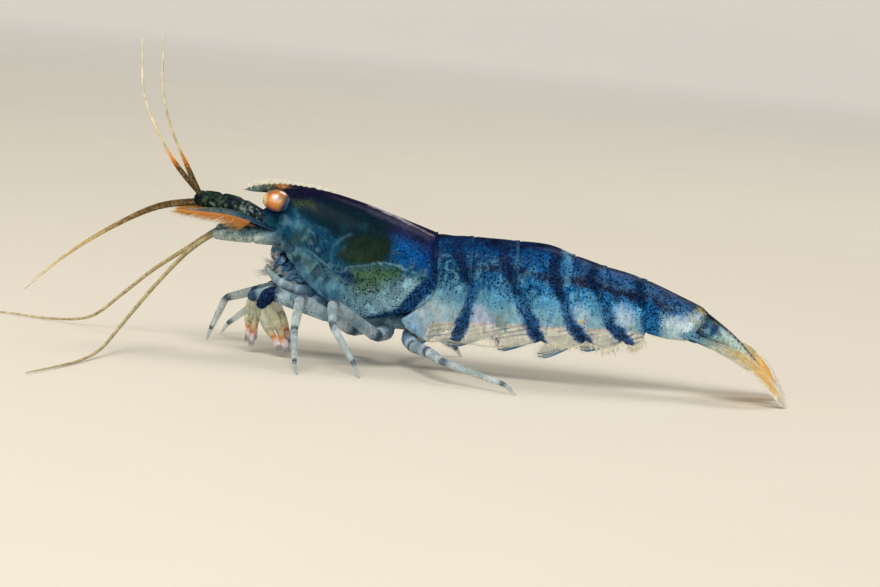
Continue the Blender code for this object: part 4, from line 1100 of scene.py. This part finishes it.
def build_mouthparts():
    """The jaws and leaf-like jaw feet under the head, with their whiskers."""
    t = np.linspace(0, 1, 60)
    body = rod(smooth_line(((-6.9, 0, 4.2), (-8.0, 0, 4.1), (-8.9, 0, 4.3)), 60),
               at(((0, 0.8), (0.5, 0.8), (1, 0.3)), t),
               at(((0, 0.66), (0.5, 0.7), (1, 0.24)), t), sides=64)
    lip = rod(smooth_line(((-7.9, 0, 5.45), (-8.6, 0, 5.36), (-8.86, 0, 4.98), (-8.55, 0, 4.55)), 48),
              np.linspace(0.9, 0.5, 48), np.linspace(0.5, 0.26, 48), sides=56)
    patches = [body, lip]
    for patch in patches:
        patch.points += 0.07 * noise(patch.points, 0.28, 9)[:, None] * (0.4, 1, 1)
    random = np.random.default_rng(3)
    tuft = Tuft()
    for sign in (-1, 1):
        for k in range(4):  # jaw feet, overlapping close against the body
            x, z = -7.35 - 0.4 * k, 3.62 + 0.22 * k
            leaf = smooth_line(((x + 0.1, sign * 0.6, z + 0.62), (x - 0.1, sign * 0.76, z + 0.34),
                                (x - 0.4, sign * 0.66, z + 0.04)), 18)
            shape = np.sin(np.pi * np.linspace(0.1, 0.96, 18)) ** 0.7
            patches.append(rod(leaf, 0.05, 0.2 * shape))
            for root in leaf[12:]:
                for spread in (-1, 0, 1):
                    way = (-1.0, 0.16 * sign * spread, -0.06 + 0.18 * spread)
                    tuft.add(root + (0, 0, 0.1 * spread), way, random.uniform(0.25, 0.55))
        for base, way, count, long in WHISKERS:
            for _ in range(count):
                root = np.array(base) * (1, sign, 1) + random.normal(0, 0.07, 3)
                towards = np.array(way) * (1, sign, 1) + random.normal(0, 0.1, 3)
                tuft.add(root, towards, long * random.uniform(0.6, 1.0))
    for patch in patches:
        p = patch.points
        colours = ramp(
            p[:, 2] + 0.3 * noise(p, 0.22, 4), (3.2, (130, 166, 182)), (3.6, (88, 134, 160)),
            (4.1, (48, 98, 134)), (4.6, (34, 78, 112)), (5.4, (60, 104, 124)),
        )
        dark = blots(p, 0.25, 5, 0.1, 0.5)
        blush = smoothstep(-8.55, -8.95, p[:, 0]) * smoothstep(4.3, 4.7, p[:, 2])
        patch.paint(laid(
            colours,
            ((12, 40, 84), 0.7 * dark),
            ((150, 180, 192), 0.5 * blots(p, 0.16, 6, 0.1, 0.5) * (1 - dark)),
            ((206, 190, 184), 0.6 * (blush * blots(p, 0.2, 15, -0.2, 0.3))),
        ), 0.35)
    piece("mouthparts", patches, LIMB, slot="limb")
    tuft.build("mouthpart_bristles", WHISKER, (0, (150, 136, 130)), (1, WHITE), bend=(0, 0, -0.06))


def build_sternum():
    """The ribbed underside of the thorax, between the legs."""
    t = np.linspace(0, 1, 60)
    line = smooth_line(((-7.3, 0, 3.45), (-5.2, 0, 2.55), (-3.2, 0, 2.32), (-1.6, 0, 2.35)), 60)
    widths = at(((0, 0.6), (0.3, 1.15), (0.6, 1.25), (0.85, 1.1), (1, 0.7)), t)
    ribs = 1 + 0.05 * np.sin(t * 2 * np.pi * 6)
    under = rod(line, widths * ribs, widths * 0.47 * ribs, sides=40)
    level = under.points[:, 2] + 0.1 * noise(under.points, 0.4, 2)
    under.paint(ramp(level, (1.8, (150, 180, 196)), (2.6, (58, 104, 134))), 0.3)
    piece("thorax_underside", [under], SHELL)


# ---- feelers ---------------------------------------------------------------------------------

# Whips: lines, radii and colours from root to tip, how dark the brown rings are, and where along
# the whip they fade out.
WHIPS = {
    "antennule_outer": (
        ANTENNULE_OUTER, ((0, 0.15), (0.24, 0.125), (0.32, 0.08), (0.8, 0.052), (1, 0.028)),
        ((0.0, (120, 108, 84)), (0.2, (142, 118, 80)), (0.27, ORANGE), (0.31, (216, 150, 70)),
         (0.38, (205, 190, 150)), (1.0, (224, 216, 192))), 1.0, (0.34, 0.2)),
    "antennule_inner": (
        ANTENNULE_INNER, ((0, 0.12), (0.3, 0.09), (0.7, 0.05), (1, 0.02)),
        ((0.0, (126, 112, 84)), (0.3, (160, 134, 84)), (0.7, (196, 172, 116)),
         (1.0, (214, 198, 156))), 1.0, (0.75, 0.3)),
    "antenna": (
        ANTENNA, ((0, 0.17), (0.12, 0.13), (0.35, 0.1), (0.7, 0.07), (1, 0.03)),
        ((0.0, (158, 150, 116)), (0.3, (184, 168, 122)), (1.0, (206, 194, 154))), 0.4, (3, 2)),
}
WHIP_STEP, WHIP_SIDES = 0.035, 10


def build_whip(kind, side):
    """A ringed whip, every fourth ring of its mesh drawn in and brown."""
    lines, radii, stops, strength, fade = WHIPS[kind]
    points = lines[side]
    length = sum(np.linalg.norm(np.subtract(b, a)) for a, b in zip(points, points[1:]))
    count = int(length / WHIP_STEP)
    ring = np.arange(count) % 4
    widths = at(radii, np.linspace(0, 1, count)) * np.where(ring == 0, 0.86, 1.0 + 0.03 * (ring == 2))
    whip = rod(smooth_line(points, count), widths, widths, side=(0, 1, 0.01), sides=WHIP_SIDES)
    dark = strength * smoothstep(*fade, whip.share)
    ringed = np.repeat(np.concatenate([[0] * 3, ring, [0] * 3]), WHIP_SIDES) == 0
    whip.paint(laid(ramp(whip.share, *stops), (BROWN, 0.45 * ringed * dark)), 0.9 * dark)
    piece(f"{kind}_{side}", [whip], FEELER, slot="feeler")


def build_feelers(side):
    """The two pairs of feelers with their stems, and the antennal scale."""
    base = limb(mirrored(ANTENNULE_BASE, side), ANTENNULE_RADII, sides=32, step=0.04)
    p = base.points
    colours = ramp(noise(p, 0.12, 2) + 0.6 * noise(p, 0.35, 3), (-0.9, INK), (-0.2, (26, 36, 26)),
                   (0.3, (42, 60, 38)), (0.65, (78, 96, 74)), (0.95, (136, 156, 146)))
    joint = np.abs(base.place - np.round(base.place)) * 1.4
    ring = smoothstep(0.06, 0.02, joint) * (base.place > 0.5) * (base.place < 2.7)
    base.paint(laid(
        colours,
        ((150, 170, 206), 0.6 * (blots(p, 0.09, 12, 0.35, 0.6) * smoothstep(1.6, 0.6, base.place))),
        ((120, 134, 116), 0.45 * ring),
        ((28, 66, 108), 0.7 * smoothstep(0.55, 0.0, base.place)),
        ((30, 44, 52), 0.25 * smoothstep(0.0, -0.7, np.sin(base.turn))),
    ), 0.5)
    piece("antennule_" + side, [base], LIMB, slot="limb")
    build_whip("antennule_outer", side)
    build_whip("antennule_inner", side)
    stem = limb(mirrored(ANTENNA_BASE, side), ANTENNA_BASE_RADII, sides=32, step=0.04)
    p = stem.points
    colours = ramp(p[:, 2] + 0.25 * noise(p, 0.22, 3), (5.4, (184, 196, 190)),
                   (5.75, (150, 174, 174)), (6.05, (96, 130, 140)), (6.3, (50, 86, 104)))
    stem.paint(laid(
        colours,
        ((196, 186, 120), 0.28 * blots(p, 0.14, 6, 0.3, 0.6)),
        ((214, 228, 232), 0.45 * blots(p * (0.4, 1, 1), 0.16, 9, 0.25, 0.6)),
        ((30, 84, 128), 0.7 * smoothstep(0.7, 0.1, stem.place)),
    ), 0.28, 0.85)
    piece("antenna_base_" + side, [stem], LIMB, slot="limb")
    build_whip("antenna", side)
    build_scale(side)


class Blade:
    """A leaf-shaped plate along a line, its outer edge turned up by tilt degrees."""

    def __init__(self, line, half_width, thick, tilt, side, sides=24):
        self.line, self.half_width = line, half_width
        angle = math.radians(tilt)
        self.across = (0, SIDES[side] * math.cos(angle), math.sin(angle))
        shape = self.shape(np.linspace(0, 1, len(line)))
        self.patch = rod(line, half_width * shape, thick * (0.4 + 0.6 * shape), self.across, sides)
        self.outward = np.cos(self.patch.turn)

    @staticmethod
    def shape(share):
        return np.sin(np.pi * (0.13 + 0.8 * share)) ** 0.65

    def edge(self, share, outward):
        """Points on the edge and the way that it faces there."""
        facing = read(frames_along(self.line, self.across)[1], share) * outward
        half = (self.half_width * self.shape(share))[:, None]
        return read(self.line, share) + facing * half, facing


def build_scale(side):
    """The antennal scale with its long orange fringe."""
    line = smooth_line(mirrored(SCALE_LINE, side), 60)
    leaf = Blade(line, SCALE_HALF_WIDTH, 0.07, SCALE_TILT, side)
    share = leaf.patch.share
    colours = ramp(share + 0.15 * noise(leaf.patch.points, 0.3, 4), (0, (24, 60, 96)),
                   (0.35, (58, 88, 106)), (0.7, (98, 112, 104)), (1.0, (164, 132, 84)))
    leaf.patch.paint(laid(
        colours,
        ((16, 34, 56), 0.7 * smoothstep(0.7, 1.0, leaf.outward)),
        (SKY, 0.35 * smoothstep(0.8, 1.0, 0.5 + 0.5 * np.cos(leaf.outward * 14))),
    ), 0.45, 0.9)
    piece("antennal_scale_" + side, [leaf.patch], FIN)
    random = np.random.default_rng(11)
    edges = []
    for outward, start in ((1.0, 0.3), (-1.0, 0.12)):
        share = np.linspace(start, 0.995, SCALE_BRISTLES)
        edge, facing = leaf.edge(share, outward)
        ahead = np.array((-1.0, 0, 0)) * (0.9 + 1.4 * share[:, None] ** 3)
        down = np.array((0, 0, -0.75)) * (1 - 0.6 * share[:, None] ** 4)
        edges.append((edge, facing * 0.35 + ahead + down + random.normal(0, 0.1, edge.shape)))
    tuft = Tuft()
    for edge, ways in edges:
        tuft.add(edge, ways, random.uniform(0.55, 0.85, len(edge)))
    tuft.build("antennal_scale_fringe_" + side, SCALE_BRISTLE, (0, (176, 104, 34)), (0.5, (208, 138, 50)),
               (1, (226, 190, 120)), bend=(-0.1, 0, -0.1))


# ---- legs ------------------------------------------------------------------------------------


def leg_paint(patch, body, joint_colour, solid):
    """Pale glassy lengths, clearer towards the foot, with dark joints and painted highlights beside them.
    """
    place = patch.place
    cloud = noise(patch.points, 0.35, 5)
    near = np.abs(place - np.round(place)) + 0.03 * cloud
    inner = (place > 0.4) & (place < place.max() - 0.4)
    root = smoothstep(1.6, 0.6, place)
    colours = laid(
        body,
        ((126, 160, 170), 0.35 + 0.35 * cloud),
        ((88, 134, 172), 0.7 * smoothstep(2.6, 0.8, place)),
        ((226, 228, 206), 0.45 * blots(patch.points, 0.15, 6, 0.3, 0.7)),
        # Pale rings beside the joints are painted highlights on the knees.
        ((206, 220, 228), 0.45 * (smoothstep(0.2, 0.06, np.abs(near - 0.2)) * inner)),
        (joint_colour, 0.75 * smoothstep(0.13, 0.03, near) * inner),
    )
    clear = solid * (1 - 0.4 * smoothstep(2.3, 4.5, place))
    hide = clear + (1 - clear) * np.maximum(smoothstep(0.14, 0.02, near) * inner, 0.7 * root)
    patch.paint(colours, 0.12 + 0.12 * root, np.clip(hide, 0, 1))


def add_leg_spines(tuft, joints):
    """Two rows of spines under a walking leg's last three lengths."""
    joints = np.array(joints)
    for a, count, long in ((2, 5, 0.16), (3, 12, 0.16), (4, 5, 0.09)):
        run = joints[a + 1] - joints[a]
        along = unit(run)
        for sign in (-1, 1):
            share = np.linspace(0.1, 0.95, count)[:, None]
            out = np.array((0.25 * sign, 0.1, -1.0))
            out = unit(out - along * (out @ along))
            reach = np.interp(a + share, range(len(joints)), WALKING_LEG_RADII)
            tuft.add(joints[a] + run * share + out * reach * 0.9, out * 0.8 + along, long)


def build_legs():
    """Six walking legs with their spines, two maxillipeds and four clawed legs."""
    tuft = Tuft()
    body = (168, 186, 188)
    for name, joints in WALKING_LEGS.items():
        leg = limb(joints, WALKING_LEG_RADII)
        leg_paint(leg, body, NAVY, 0.62)
        piece(name, [leg], LIMB, slot="limb")
        add_leg_spines(tuft, joints)
    for side in SIDES:
        jaw = limb(mirrored(MAXILLIPED, side), MAXILLIPED_RADII)
        leg_paint(jaw, body, STEEL, 0.85)
        piece("maxilliped_" + side, [jaw], LIMB, slot="limb")
        for number, joints in CLAW_ARMS.items():
            build_claw(number, side, mirrored(joints, side))
    tuft.build("leg_spines", LEG_SPINE, (0, (206, 198, 172)))


def build_claw(number, side, joints):
    """An arm and its flat two-fingered hand, whose fingertips end in long brushes."""
    arm = limb(joints, CLAW_ARM_RADII, sides=20)
    leg_paint(arm, (120, 150, 160), NAVY, 0.85)
    if number == 2:  # the wrist of the second pair is dark
        deep = smoothstep(1.7, 2.05, arm.place + 0.14 * noise(arm.points, 0.25, 3))
        colours, spots = laid(arm.colours, ((10, 50, 98), 0.95 * deep)), 0.2 + 0.9 * deep
    else:
        deep = smoothstep(2.75, 2.95, arm.place)
        colours, spots = laid(arm.colours, ((12, 40, 82), 0.85 * deep)), 0.2
    arm.paint(colours, spots, np.maximum(arm.solid, deep))
    piece(f"claw_leg_{number}_{side}", [arm], LIMB, slot="limb")
    wrist, tip = joints[-1], mirrored(CLAW_TIPS[number], side)
    reach = np.linalg.norm(tip - wrist)
    along = unit(tip - wrist)
    across = unit(np.array((1.0, 0, 0)) - along * along[0])
    through = np.cross(along, across)
    wide, deep = CLAW_HALF_WIDTH[number], CLAW_HALF_DEPTH * 0.72
    glass, smoke = (200, 196, 166), (52, 66, 84)
    t = np.linspace(0, 1, 22)
    palm = rod(wrist + along * reach * (0.46 * t)[:, None],
               wide * np.interp(t, (0, 0.25, 0.7, 1), (0.62, 0.88, 1, 0.96)),
               deep * np.interp(t, (0, 0.3, 1), (0.8, 1, 0.95)), side=across, sides=32)
    notch = smoothstep(0.3, 0.9, palm.share) * smoothstep(-0.2, -0.8, np.cos(palm.turn))
    notch *= blots(palm.points, 0.14, 7, -0.1, 0.5)
    cloud = 0.5 + 0.5 * noise(palm.points, 0.35, 2)
    palm.paint(laid(glass, ((168, 174, 150), cloud), (smoke, 0.75 * notch)), 0.1,
               np.maximum(0.55, 0.9 * notch))
    patches, tuft = [palm], Tuft()
    roots, ways = [], []
    random = np.random.default_rng(17 + number)
    t = np.linspace(0, 1, 24)
    for lean, end in ((-1, 0.66), (1, 0.76)):
        line = smooth_line([
            wrist + along * reach * share + across * lean * wide * out
            for share, out in ((0.42, 0.5), ((0.42 + end) / 2, 0.47), (end, 0.3))
        ], 24)
        finger = rod(line, wide * np.interp(t, (0, 0.3, 0.8, 1), (0.46, 0.44, 0.32, 0.2)),
                     deep * np.interp(t, (0, 0.8, 1), (0.92, 0.7, 0.4)), side=across, sides=18)
        colours = ramp(
            finger.share + 0.1 * noise(finger.points, 0.15, 3), (0, glass), (0.55, (204, 190, 148)),
            (0.78, (214, 156, 88)), (0.92, (206, 120, 48)), (1.0, (224, 180, 140)),
        )
        inner = smoothstep(-0.55, -0.98, np.cos(finger.turn) * lean) * (finger.share < 0.7)
        finger.paint(laid(colours, (smoke, 0.6 * inner)), 0.05, np.maximum(0.6, 0.85 * inner))
        patches.append(finger)
        for _ in range(BRUSH_HAIRS):
            share = random.uniform(0.84, 1.0)
            turn = random.uniform(0, 2 * math.pi)
            out = across * math.cos(turn) * wide * 0.28 + through * math.sin(turn) * deep * 0.4
            roots.append(line[int(share * 23)] + out)
            ways.append(along + out * random.uniform(-0.1, 0.5) - across * lean * 0.02)
    piece(f"claw_{number}_{side}", patches, CLAW, slot="claw")
    roots, ways = np.array(roots), unit(ways)
    lengths = reach * (0.22 + 0.1 * random.random(len(roots)))
    room = (roots[:, 2] - 0.02) / np.maximum(-ways[:, 2], 0.2)
    tuft.add(roots, ways, np.minimum(lengths, room))
    tuft.build(f"claw_{number}_brush_{side}", BRUSH_HAIR, (0, (216, 150, 96)), (0.25, (226, 214, 216)),
               (1, (236, 236, 246)))


# ---- swimmerets and tail ---------------------------------------------------------------------


def pleopod_blade(line, half, tuft):
    """A glassy paddle with a blue lower edge, and feathery bristles round its far end."""
    count = len(line)
    leaf = rod(line, 0.035, half, sides=28)
    veins = smoothstep(0.6, 1.0, 0.5 + 0.5 * np.cos(np.sin(leaf.turn) * 9))
    leaf.paint(laid((242, 242, 230), (STEEL, 0.4 * veins)), 0.02, 0.14 + 0.14 * veins)
    up = upwards(line)
    below = line - up * half[:, None]
    edge = rod(below[8:], 0.04, np.linspace(0.05, 0.03, count - 8), sides=10)
    edge.paint(ramp(edge.share, (0, STEEL), (0.35, (96, 164, 204)), (1, (56, 128, 180))), 0.1,
               np.interp(edge.share, (0, 0.3), (0.3, 0.95)))
    share = np.linspace(0.62, 1.0, 14)
    for wing in (-1, 1):
        rim = line + up * (wing * half)[:, None]
        tuft.add(read(rim, share), read(up, share) * wing * 0.35 + (-1.0, 0, -0.1), 0.3)
    return [leaf, edge]


def build_pleopods():
    """Five pairs of swimmerets: a stem and two pointed blades each."""
    tuft = Tuft()
    rows = zip(PLEOPOD_X, PLEOPOD_Z, PLEOPOD_DROP, PLEOPOD_REACH)
    for number, (x, z, drop, reach) in enumerate(rows, 1):
        for side, sign in SIDES.items():
            y = PLEOPOD_Y * sign
            stem = rod(smooth_line(((x, y, z + 0.1), (x, y, z - 0.25), (x - 0.12, y, z - 0.5)), 12),
                       0.17, np.linspace(0.34, 0.26, 12), sides=18)
            stem.paint(laid(PALE, (STEEL, 0.5 + 0.2 * noise(stem.points, 0.2, 2))), 0.2, 0.6)
            patches = [stem]
            for spread, length in ((0.16, 1.0), (-0.14, 0.88)):
                t = np.linspace(0, 1, 40)
                line = smooth_line((
                    (x - 0.05, y + spread * 0.5, z - 0.35),
                    (x - reach * 0.58, y + spread, z - drop * 0.66),
                    (x - reach * 1.24 * length, y + spread, z - drop * 1.22),
                ), len(t))
                shape = np.sin(np.pi * (0.12 + 0.88 * t)) ** 0.7
                patches += pleopod_blade(line, PLEOPOD_HALF_WIDTH * 0.75 * shape + 0.02, tuft)
            piece(f"pleopod_{number}_{side}", patches, FIN, slot="fin")
    tuft.build("pleopod_fringe", FEATHER, (0, CREAM), (1, WHITE))


def build_telson():
    """The tail plate: a navy upper edge with pearly spinules, teal and olive sides."""
    t = np.linspace(0, 1, 70)
    line = smooth_line(TELSON_LINE, 70)
    widths = at(((0, 0.76), (0.3, 0.62), (0.7, 0.42), (0.93, 0.24), (1, 0.12)), t)
    heights = at(((0, 0.58), (0.25, 0.54), (0.55, 0.38), (0.85, 0.22), (1, 0.1)), t)
    up = upwards(line)
    line = line + up * (at(TELSON_CAD_HEIGHTS, t) - heights)[:, None]  # keeps the upper edge
    telson = rod(line, widths, heights, sides=44)
    p = telson.points
    x, z = p[:, 0], p[:, 2]
    height = np.where(z > np.interp(x, line[:, 0], line[:, 2]), 1, -1) * np.abs(np.sin(telson.turn))
    cloud = noise(p, 0.25, 2)
    colours = ramp(
        telson.share + 0.1 * cloud, (0, (70, 84, 62)), (0.08, (84, 108, 96)),
        (0.18, (74, 138, 180)), (0.32, (168, 208, 216)), (0.55, (196, 222, 216)),
        (0.8, (190, 208, 192)), (1.0, (190, 168, 120)),
    )
    olive = ((12.62, 4.02, 0.1), (13.0, 3.82, 0.16), (13.35, 3.6, 0.08))
    blue = ((12.75, 3.62, 0.12), (13.15, 3.42, 0.18), (13.6, 3.2, 0.08))
    dashes = smoothstep(0.5, 0.8, np.sin(telson.share * 2 * np.pi * 15)) * (telson.share > 0.35)
    dashes = dashes * smoothstep(0.72, 0.8, height) * smoothstep(0.97, 0.9, height)
    telson.paint(laid(
        colours,
        ((176, 160, 60), 0.7 * blots(p, 0.16, 5, 0.25, 0.6)),
        (YELLOW, 0.8 * band(x, z, ((12.35, 4.32, 0.1), (12.6, 4.12, 0.12)), 0.12)),
        (DARK_OLIVE, 0.85 * band(x, z, olive, 0.16, 0.12 * cloud)),
        ((14, 60, 120), 0.8 * band(x, z, blue, 0.16, 0.12 * cloud)),
        ((16, 14, 34), 0.9 * smoothstep(0.55, 0.9, height)),
        ((214, 212, 226), 0.75 * dashes),
        ((170, 206, 222), 0.6 * smoothstep(0.16, 0.0, np.abs(height + 0.78))),
    ), 0.5 * (1 - telson.share))
    piece("telson", [telson], SHELL)
    tuft = Tuft()
    share = np.linspace(0.42, 0.97, 9)
    half, rise = (np.interp(share, t, r)[:, None] for r in (widths, heights))
    for sign in (-1, 1):
        side = read(line, share) + np.array((0, sign * 0.62, 0)) * half
        tuft.add(side + np.array((0, 0, 0.8)) * rise, (0.8, 0.1 * sign, -0.62), 0.16)
    spread = np.arange(-3, 4)[:, None]
    tuft.add(line[-1] + spread * (0, 0.03, 0), (1.0, 0, -0.9) + spread * (0, 0.22, 0), 0.4)
    tuft.build("telson_spines", TELSON_SPINE, (0, WHITE))


def paint_tail_blade(leaf, outer, side):
    """Teal at its root, then cream with a warm glow, within a clear pale rim."""
    t, p, out = leaf.patch.share, leaf.patch.points, leaf.outward
    cloud = noise(p * (1, 2.2, 1), 0.35, 6)
    colours = ramp(
        t + 0.08 * cloud, (0.0, (96, 150, 170)), (0.15, (140, 176, 180)), (0.35, (196, 186, 148)),
        (0.6, (222, 196, 142)), (0.8, (234, 208, 156)), (0.92, (232, 220, 196)),
        (1.0, (222, 226, 220)),
    )
    glow = smoothstep(0.5, 0.66, t + 0.05 * cloud) * smoothstep(0.94, 0.84, t + 0.05 * cloud)
    glow = glow * smoothstep(0.84, 0.4, out)
    patchy = blots(p * (0.5, 2.0, 1), 0.22, 8, 0.1, 0.6) * smoothstep(0.1, 0.2, t)
    lines = smoothstep(0.86, 1.0, 0.5 + 0.5 * np.cos(out * 16 + 1.5 * cloud))
    rim = smoothstep(0.84, 0.98, np.abs(out))
    broad = smoothstep(0.62, 0.88, out) * smoothstep(0.45, 0.7, t) * outer
    colours = laid(
        colours,
        ((242, 184, 92), (0.85 if side == "right" else 0.45) * glow),
        ((196, 152, 52), 0.7 * patchy * smoothstep(0.75, 0.5, t)),
        ((52, 84, 92), 0.55 * lines * smoothstep(0.66, 0.4, t)),
        ((252, 248, 240), 0.9 * broad),
        ((250, 246, 226), 0.9 * rim * smoothstep(0.22, 0.4, t)),
        ((30, 92, 140), 0.75 * rim * smoothstep(0.3, 0.12, t)),
    )
    solid = 0.92 - 0.2 * smoothstep(0.8, 0.95, t) - 0.05 * broad
    solid = solid * (1 - 0.45 * rim * smoothstep(0.15, 0.35, t))
    leaf.patch.paint(colours, 0.25 * smoothstep(0.6, 0.2, t), solid)


def fan_stem(root, sign):
    """The short root that both blades of one side stand on."""
    line = smooth_line((np.subtract(root, (0.25, 0, -0.02)),
                        np.array(root) + (0.4, sign * 0.16, -0.16)), 14)
    stem = rod(line, np.linspace(0.3, 0.32, 14), np.linspace(0.26, 0.24, 14), sides=24)
    colours = ramp(noise(stem.points, 0.2, 2), (-0.6, TEAL), (0.2, (120, 170, 190)), (0.8, PALE))
    stem.paint(laid(colours, ((20, 84, 140), 0.7 * smoothstep(0.8, 1.0, stem.share))), 0.4)
    return stem


def build_fan():
    """The uropods: two blades a side, with a fringe that stays clear of the floor."""
    random = np.random.default_rng(29)
    tuft = Tuft()
    for side, sign in SIDES.items():
        for key, blades, half, thick in (("outer", OUTER_BLADE, OUTER_BLADE_HALF_WIDTH, 0.06),
                                         ("inner", INNER_BLADE, INNER_BLADE_HALF_WIDTH, 0.055)):
            outer = key == "outer"
            root, bend, end, tilt = blades[side]
            line = smooth_line((root, bend, end), 80)
            leaf = Blade(line, half, thick, tilt, side, sides=40)
            p = leaf.patch.points
            upper = p[:, 2] > np.interp(p[:, 0], line[:, 0], line[:, 2])
            ribs = 0.5 + 0.5 * np.cos(np.clip(leaf.outward, -1, 1) * 2.2 * np.pi)
            lift = 0.02 * (ribs - 0.5) * np.where(upper, 1, -1)
            p[:, 2] += lift * np.sin(np.pi * leaf.patch.share)
            paint_tail_blade(leaf, outer, side)
            patches = [leaf.patch, fan_stem(root, sign)] if outer else [leaf.patch]
            piece(f"uropod_{key}_{side}", patches, FIN, slot="fin")
            for outward, start in ((1.0, 0.55 if outer else 0.3), (-1.0, 0.3)):
                share = np.linspace(start, 0.998, TAIL_BRISTLES)
                edge, facing = leaf.edge(share, outward)
                ahead = unit(np.gradient(line, axis=0)[(share * 79).astype(int)])
                ways = facing + ahead * (0.5 + 0.7 * share[:, None])
                ways = ways + random.normal(0, 0.12, ways.shape)
                room = np.clip((edge[:, 2] - 0.02) * 1.2, 0.03, 0.34)
                tuft.add(edge, ways, room * random.uniform(0.55, 1.0, len(share)))
    tuft.build("tail_fringe", TAIL_BRISTLE, (0, (255, 250, 236)), (1, (250, 250, 246)))


PLEURA_FRINGE = (0.12, 0.16, 0.34, 0.6, 0.62, 0.12)  # the longest bristles of flaps 1 to 6


def build_pleura_fringe():
    """Feathery bristles along the flaps' margins, longest towards the tail."""
    random = np.random.default_rng(5)
    tuft = Tuft()
    count = FLAP_BRISTLES
    for long, (first, last, margin, _) in zip(PLEURA_FRINGE, list(PLATES.values())[1:]):
        s = np.linspace(first + 0.08, last - 0.05, count)
        x, half, z = trunk_surface(margin, s, np.full(count, 2.0))
        sheaf = 0.35 * np.sin(s * 41.0)  # bristles lean together in sheaves
        for sign in (-1, 1):
            ways = np.stack([0.15 + sheaf, np.full(count, sign * 0.1), np.full(count, -1.0)], -1)
            ways = ways + random.normal(0, 0.16, ways.shape)
            roots = np.stack([x, sign * (half - 0.06), z], -1)
            tuft.add(roots, ways, random.uniform(0.5, 1.0, count) * long)
    tuft.build("pleura_fringe", FLAP_BRISTLE, (0, (250, 244, 222)))


# ---- the studio ------------------------------------------------------------------------------

STAGE_GLOW = 0.22
STAGE_FLAT, STAGE_BEND, STAGE_HEIGHT = 0.4, 0.12, 0.16  # metres
STAGE_SIDES = 96
PAPER, FAR_PAPER = (222, 214, 198), (252, 248, 240)
PAPER_GRAIN = 25 / 3


def stage_material():
    """Matt paper, paler far out and softly lit from behind there, where less light falls on it."""
    n = Nodes("floor")
    value = n.math("MULTIPLY_ADD", n.noise(PAPER_GRAIN, 3.0), 0.04, 0.98)
    out = n.add("VectorMath", {0: n.place}, operation="LENGTH").outputs["Value"]
    paper = n.mix(n.ranged(out, 0.1, 0.4), PAPER, FAR_PAPER)
    return n.shade(
        Base_Color=n.toned(paper, value), Roughness=0.8, Emission_Color=(*linear(FAR_PAPER), 1.0),
        Emission_Strength=n.ranged(out, 0.18, 0.38, STAGE_GLOW),
    )


def build_stage():
    """A wide flat floor whose far edge curves up all round, beyond every camera."""
    turns = np.linspace(0, math.pi / 2, 10)
    rim = STAGE_FLAT + STAGE_BEND
    radii = [0.05, 0.15, 0.28, *(STAGE_FLAT + STAGE_BEND * np.sin(turns)), rim]
    heights = [0.0, 0.0, 0.0, *(STAGE_BEND * (1 - np.cos(turns))), STAGE_HEIGHT]
    around = np.arange(STAGE_SIDES) * 2 * np.pi / STAGE_SIDES
    points = [(r * math.cos(a), r * math.sin(a), z) for r, z in zip(radii, heights) for a in around]
    mesh = bpy.data.meshes.new("floor")
    faces = [tuple(range(STAGE_SIDES)), *grid_faces(len(radii), STAGE_SIDES)]
    mesh.from_pydata(points, [], faces)
    mesh.shade_smooth()
    mesh.materials.append(stage_material())
    linked("floor", mesh)


def add_light(name, place, size, power, colour):
    """A round soft light that looks at the animal."""
    data = bpy.data.lights.new(name, "AREA")
    data.shape = "DISK"
    data.size = size
    data.energy = power
    data.color = colour
    made = linked(name, data)
    made.location = place
    ahead = Vector((0.0, 0.006, 0.004)) - Vector(place)
    made.rotation_euler = ahead.to_track_quat("-Z", "Y").to_euler()


def build_lights():
    """Soft light from above and before, a rim from behind, and a pale surround."""
    add_light("key", (-0.06, -0.12, 0.2), 0.18, 0.46, (1.0, 0.98, 0.95))
    add_light("rim", (0.08, 0.16, 0.2), 0.12, 0.22, (1.0, 0.97, 0.92))
    add_light("fill", (-0.2, -0.18, 0.05), 0.2, 0.14, (0.94, 0.97, 1.0))
    world = bpy.data.worlds.new("studio")
    world.use_nodes = True
    background = world.node_tree.nodes["Background"]
    background.inputs["Color"].default_value = (0.8, 0.79, 0.76, 1.0)
    background.inputs["Strength"].default_value = 0.34
    bpy.context.scene.world = world


CAMERA_TARGET = (-0.58, 0.0, 3.77)
CAMERA_DROP = math.radians(6.0)
CAMERA_ROLL = math.radians(5.896)
CAMERA_LENS = 150.0
CAMERA_SENSOR = 36.0
VIEW_WIDTH = 44.0  # mm across the picture at the target


def build_camera():
    """A long lens that looks slightly down at the animal's left side, and is a little rolled."""
    data = bpy.data.cameras.new("camera")
    data.lens = CAMERA_LENS
    data.sensor_width = CAMERA_SENSOR
    data.clip_start, data.clip_end = 0.001, 10.0
    ahead = Vector((0, math.cos(CAMERA_DROP), -math.sin(CAMERA_DROP)))
    upright = Vector((0, math.sin(CAMERA_DROP), math.cos(CAMERA_DROP)))
    level = Vector((1, 0, 0))
    right = level * math.cos(CAMERA_ROLL) + upright * math.sin(CAMERA_ROLL)
    up = upright * math.cos(CAMERA_ROLL) - level * math.sin(CAMERA_ROLL)
    matrix = Matrix((right, up, -ahead)).transposed().to_4x4()
    away = VIEW_WIDTH / CAMERA_SENSOR * CAMERA_LENS * MM
    matrix.translation = Vector(placed(np.array(CAMERA_TARGET))) - ahead * away
    made = linked("camera", data)
    made.matrix_world = matrix
    bpy.context.scene.camera = made


def main():
    scene = bpy.context.scene
    scene.view_settings.view_transform = "Standard"
    scene.cycles.transparent_max_bounces = 24
    for name in PLATES:
        build_plate(name)
    build_head()
    build_rostrum()
    build_mouthparts()
    build_sternum()
    for side in SIDES:
        build_eye(side)
        build_feelers(side)
    build_legs()
    build_pleopods()
    build_telson()
    build_fan()
    build_pleura_fringe()
    build_stage()
    build_lights()
    build_camera()


main()
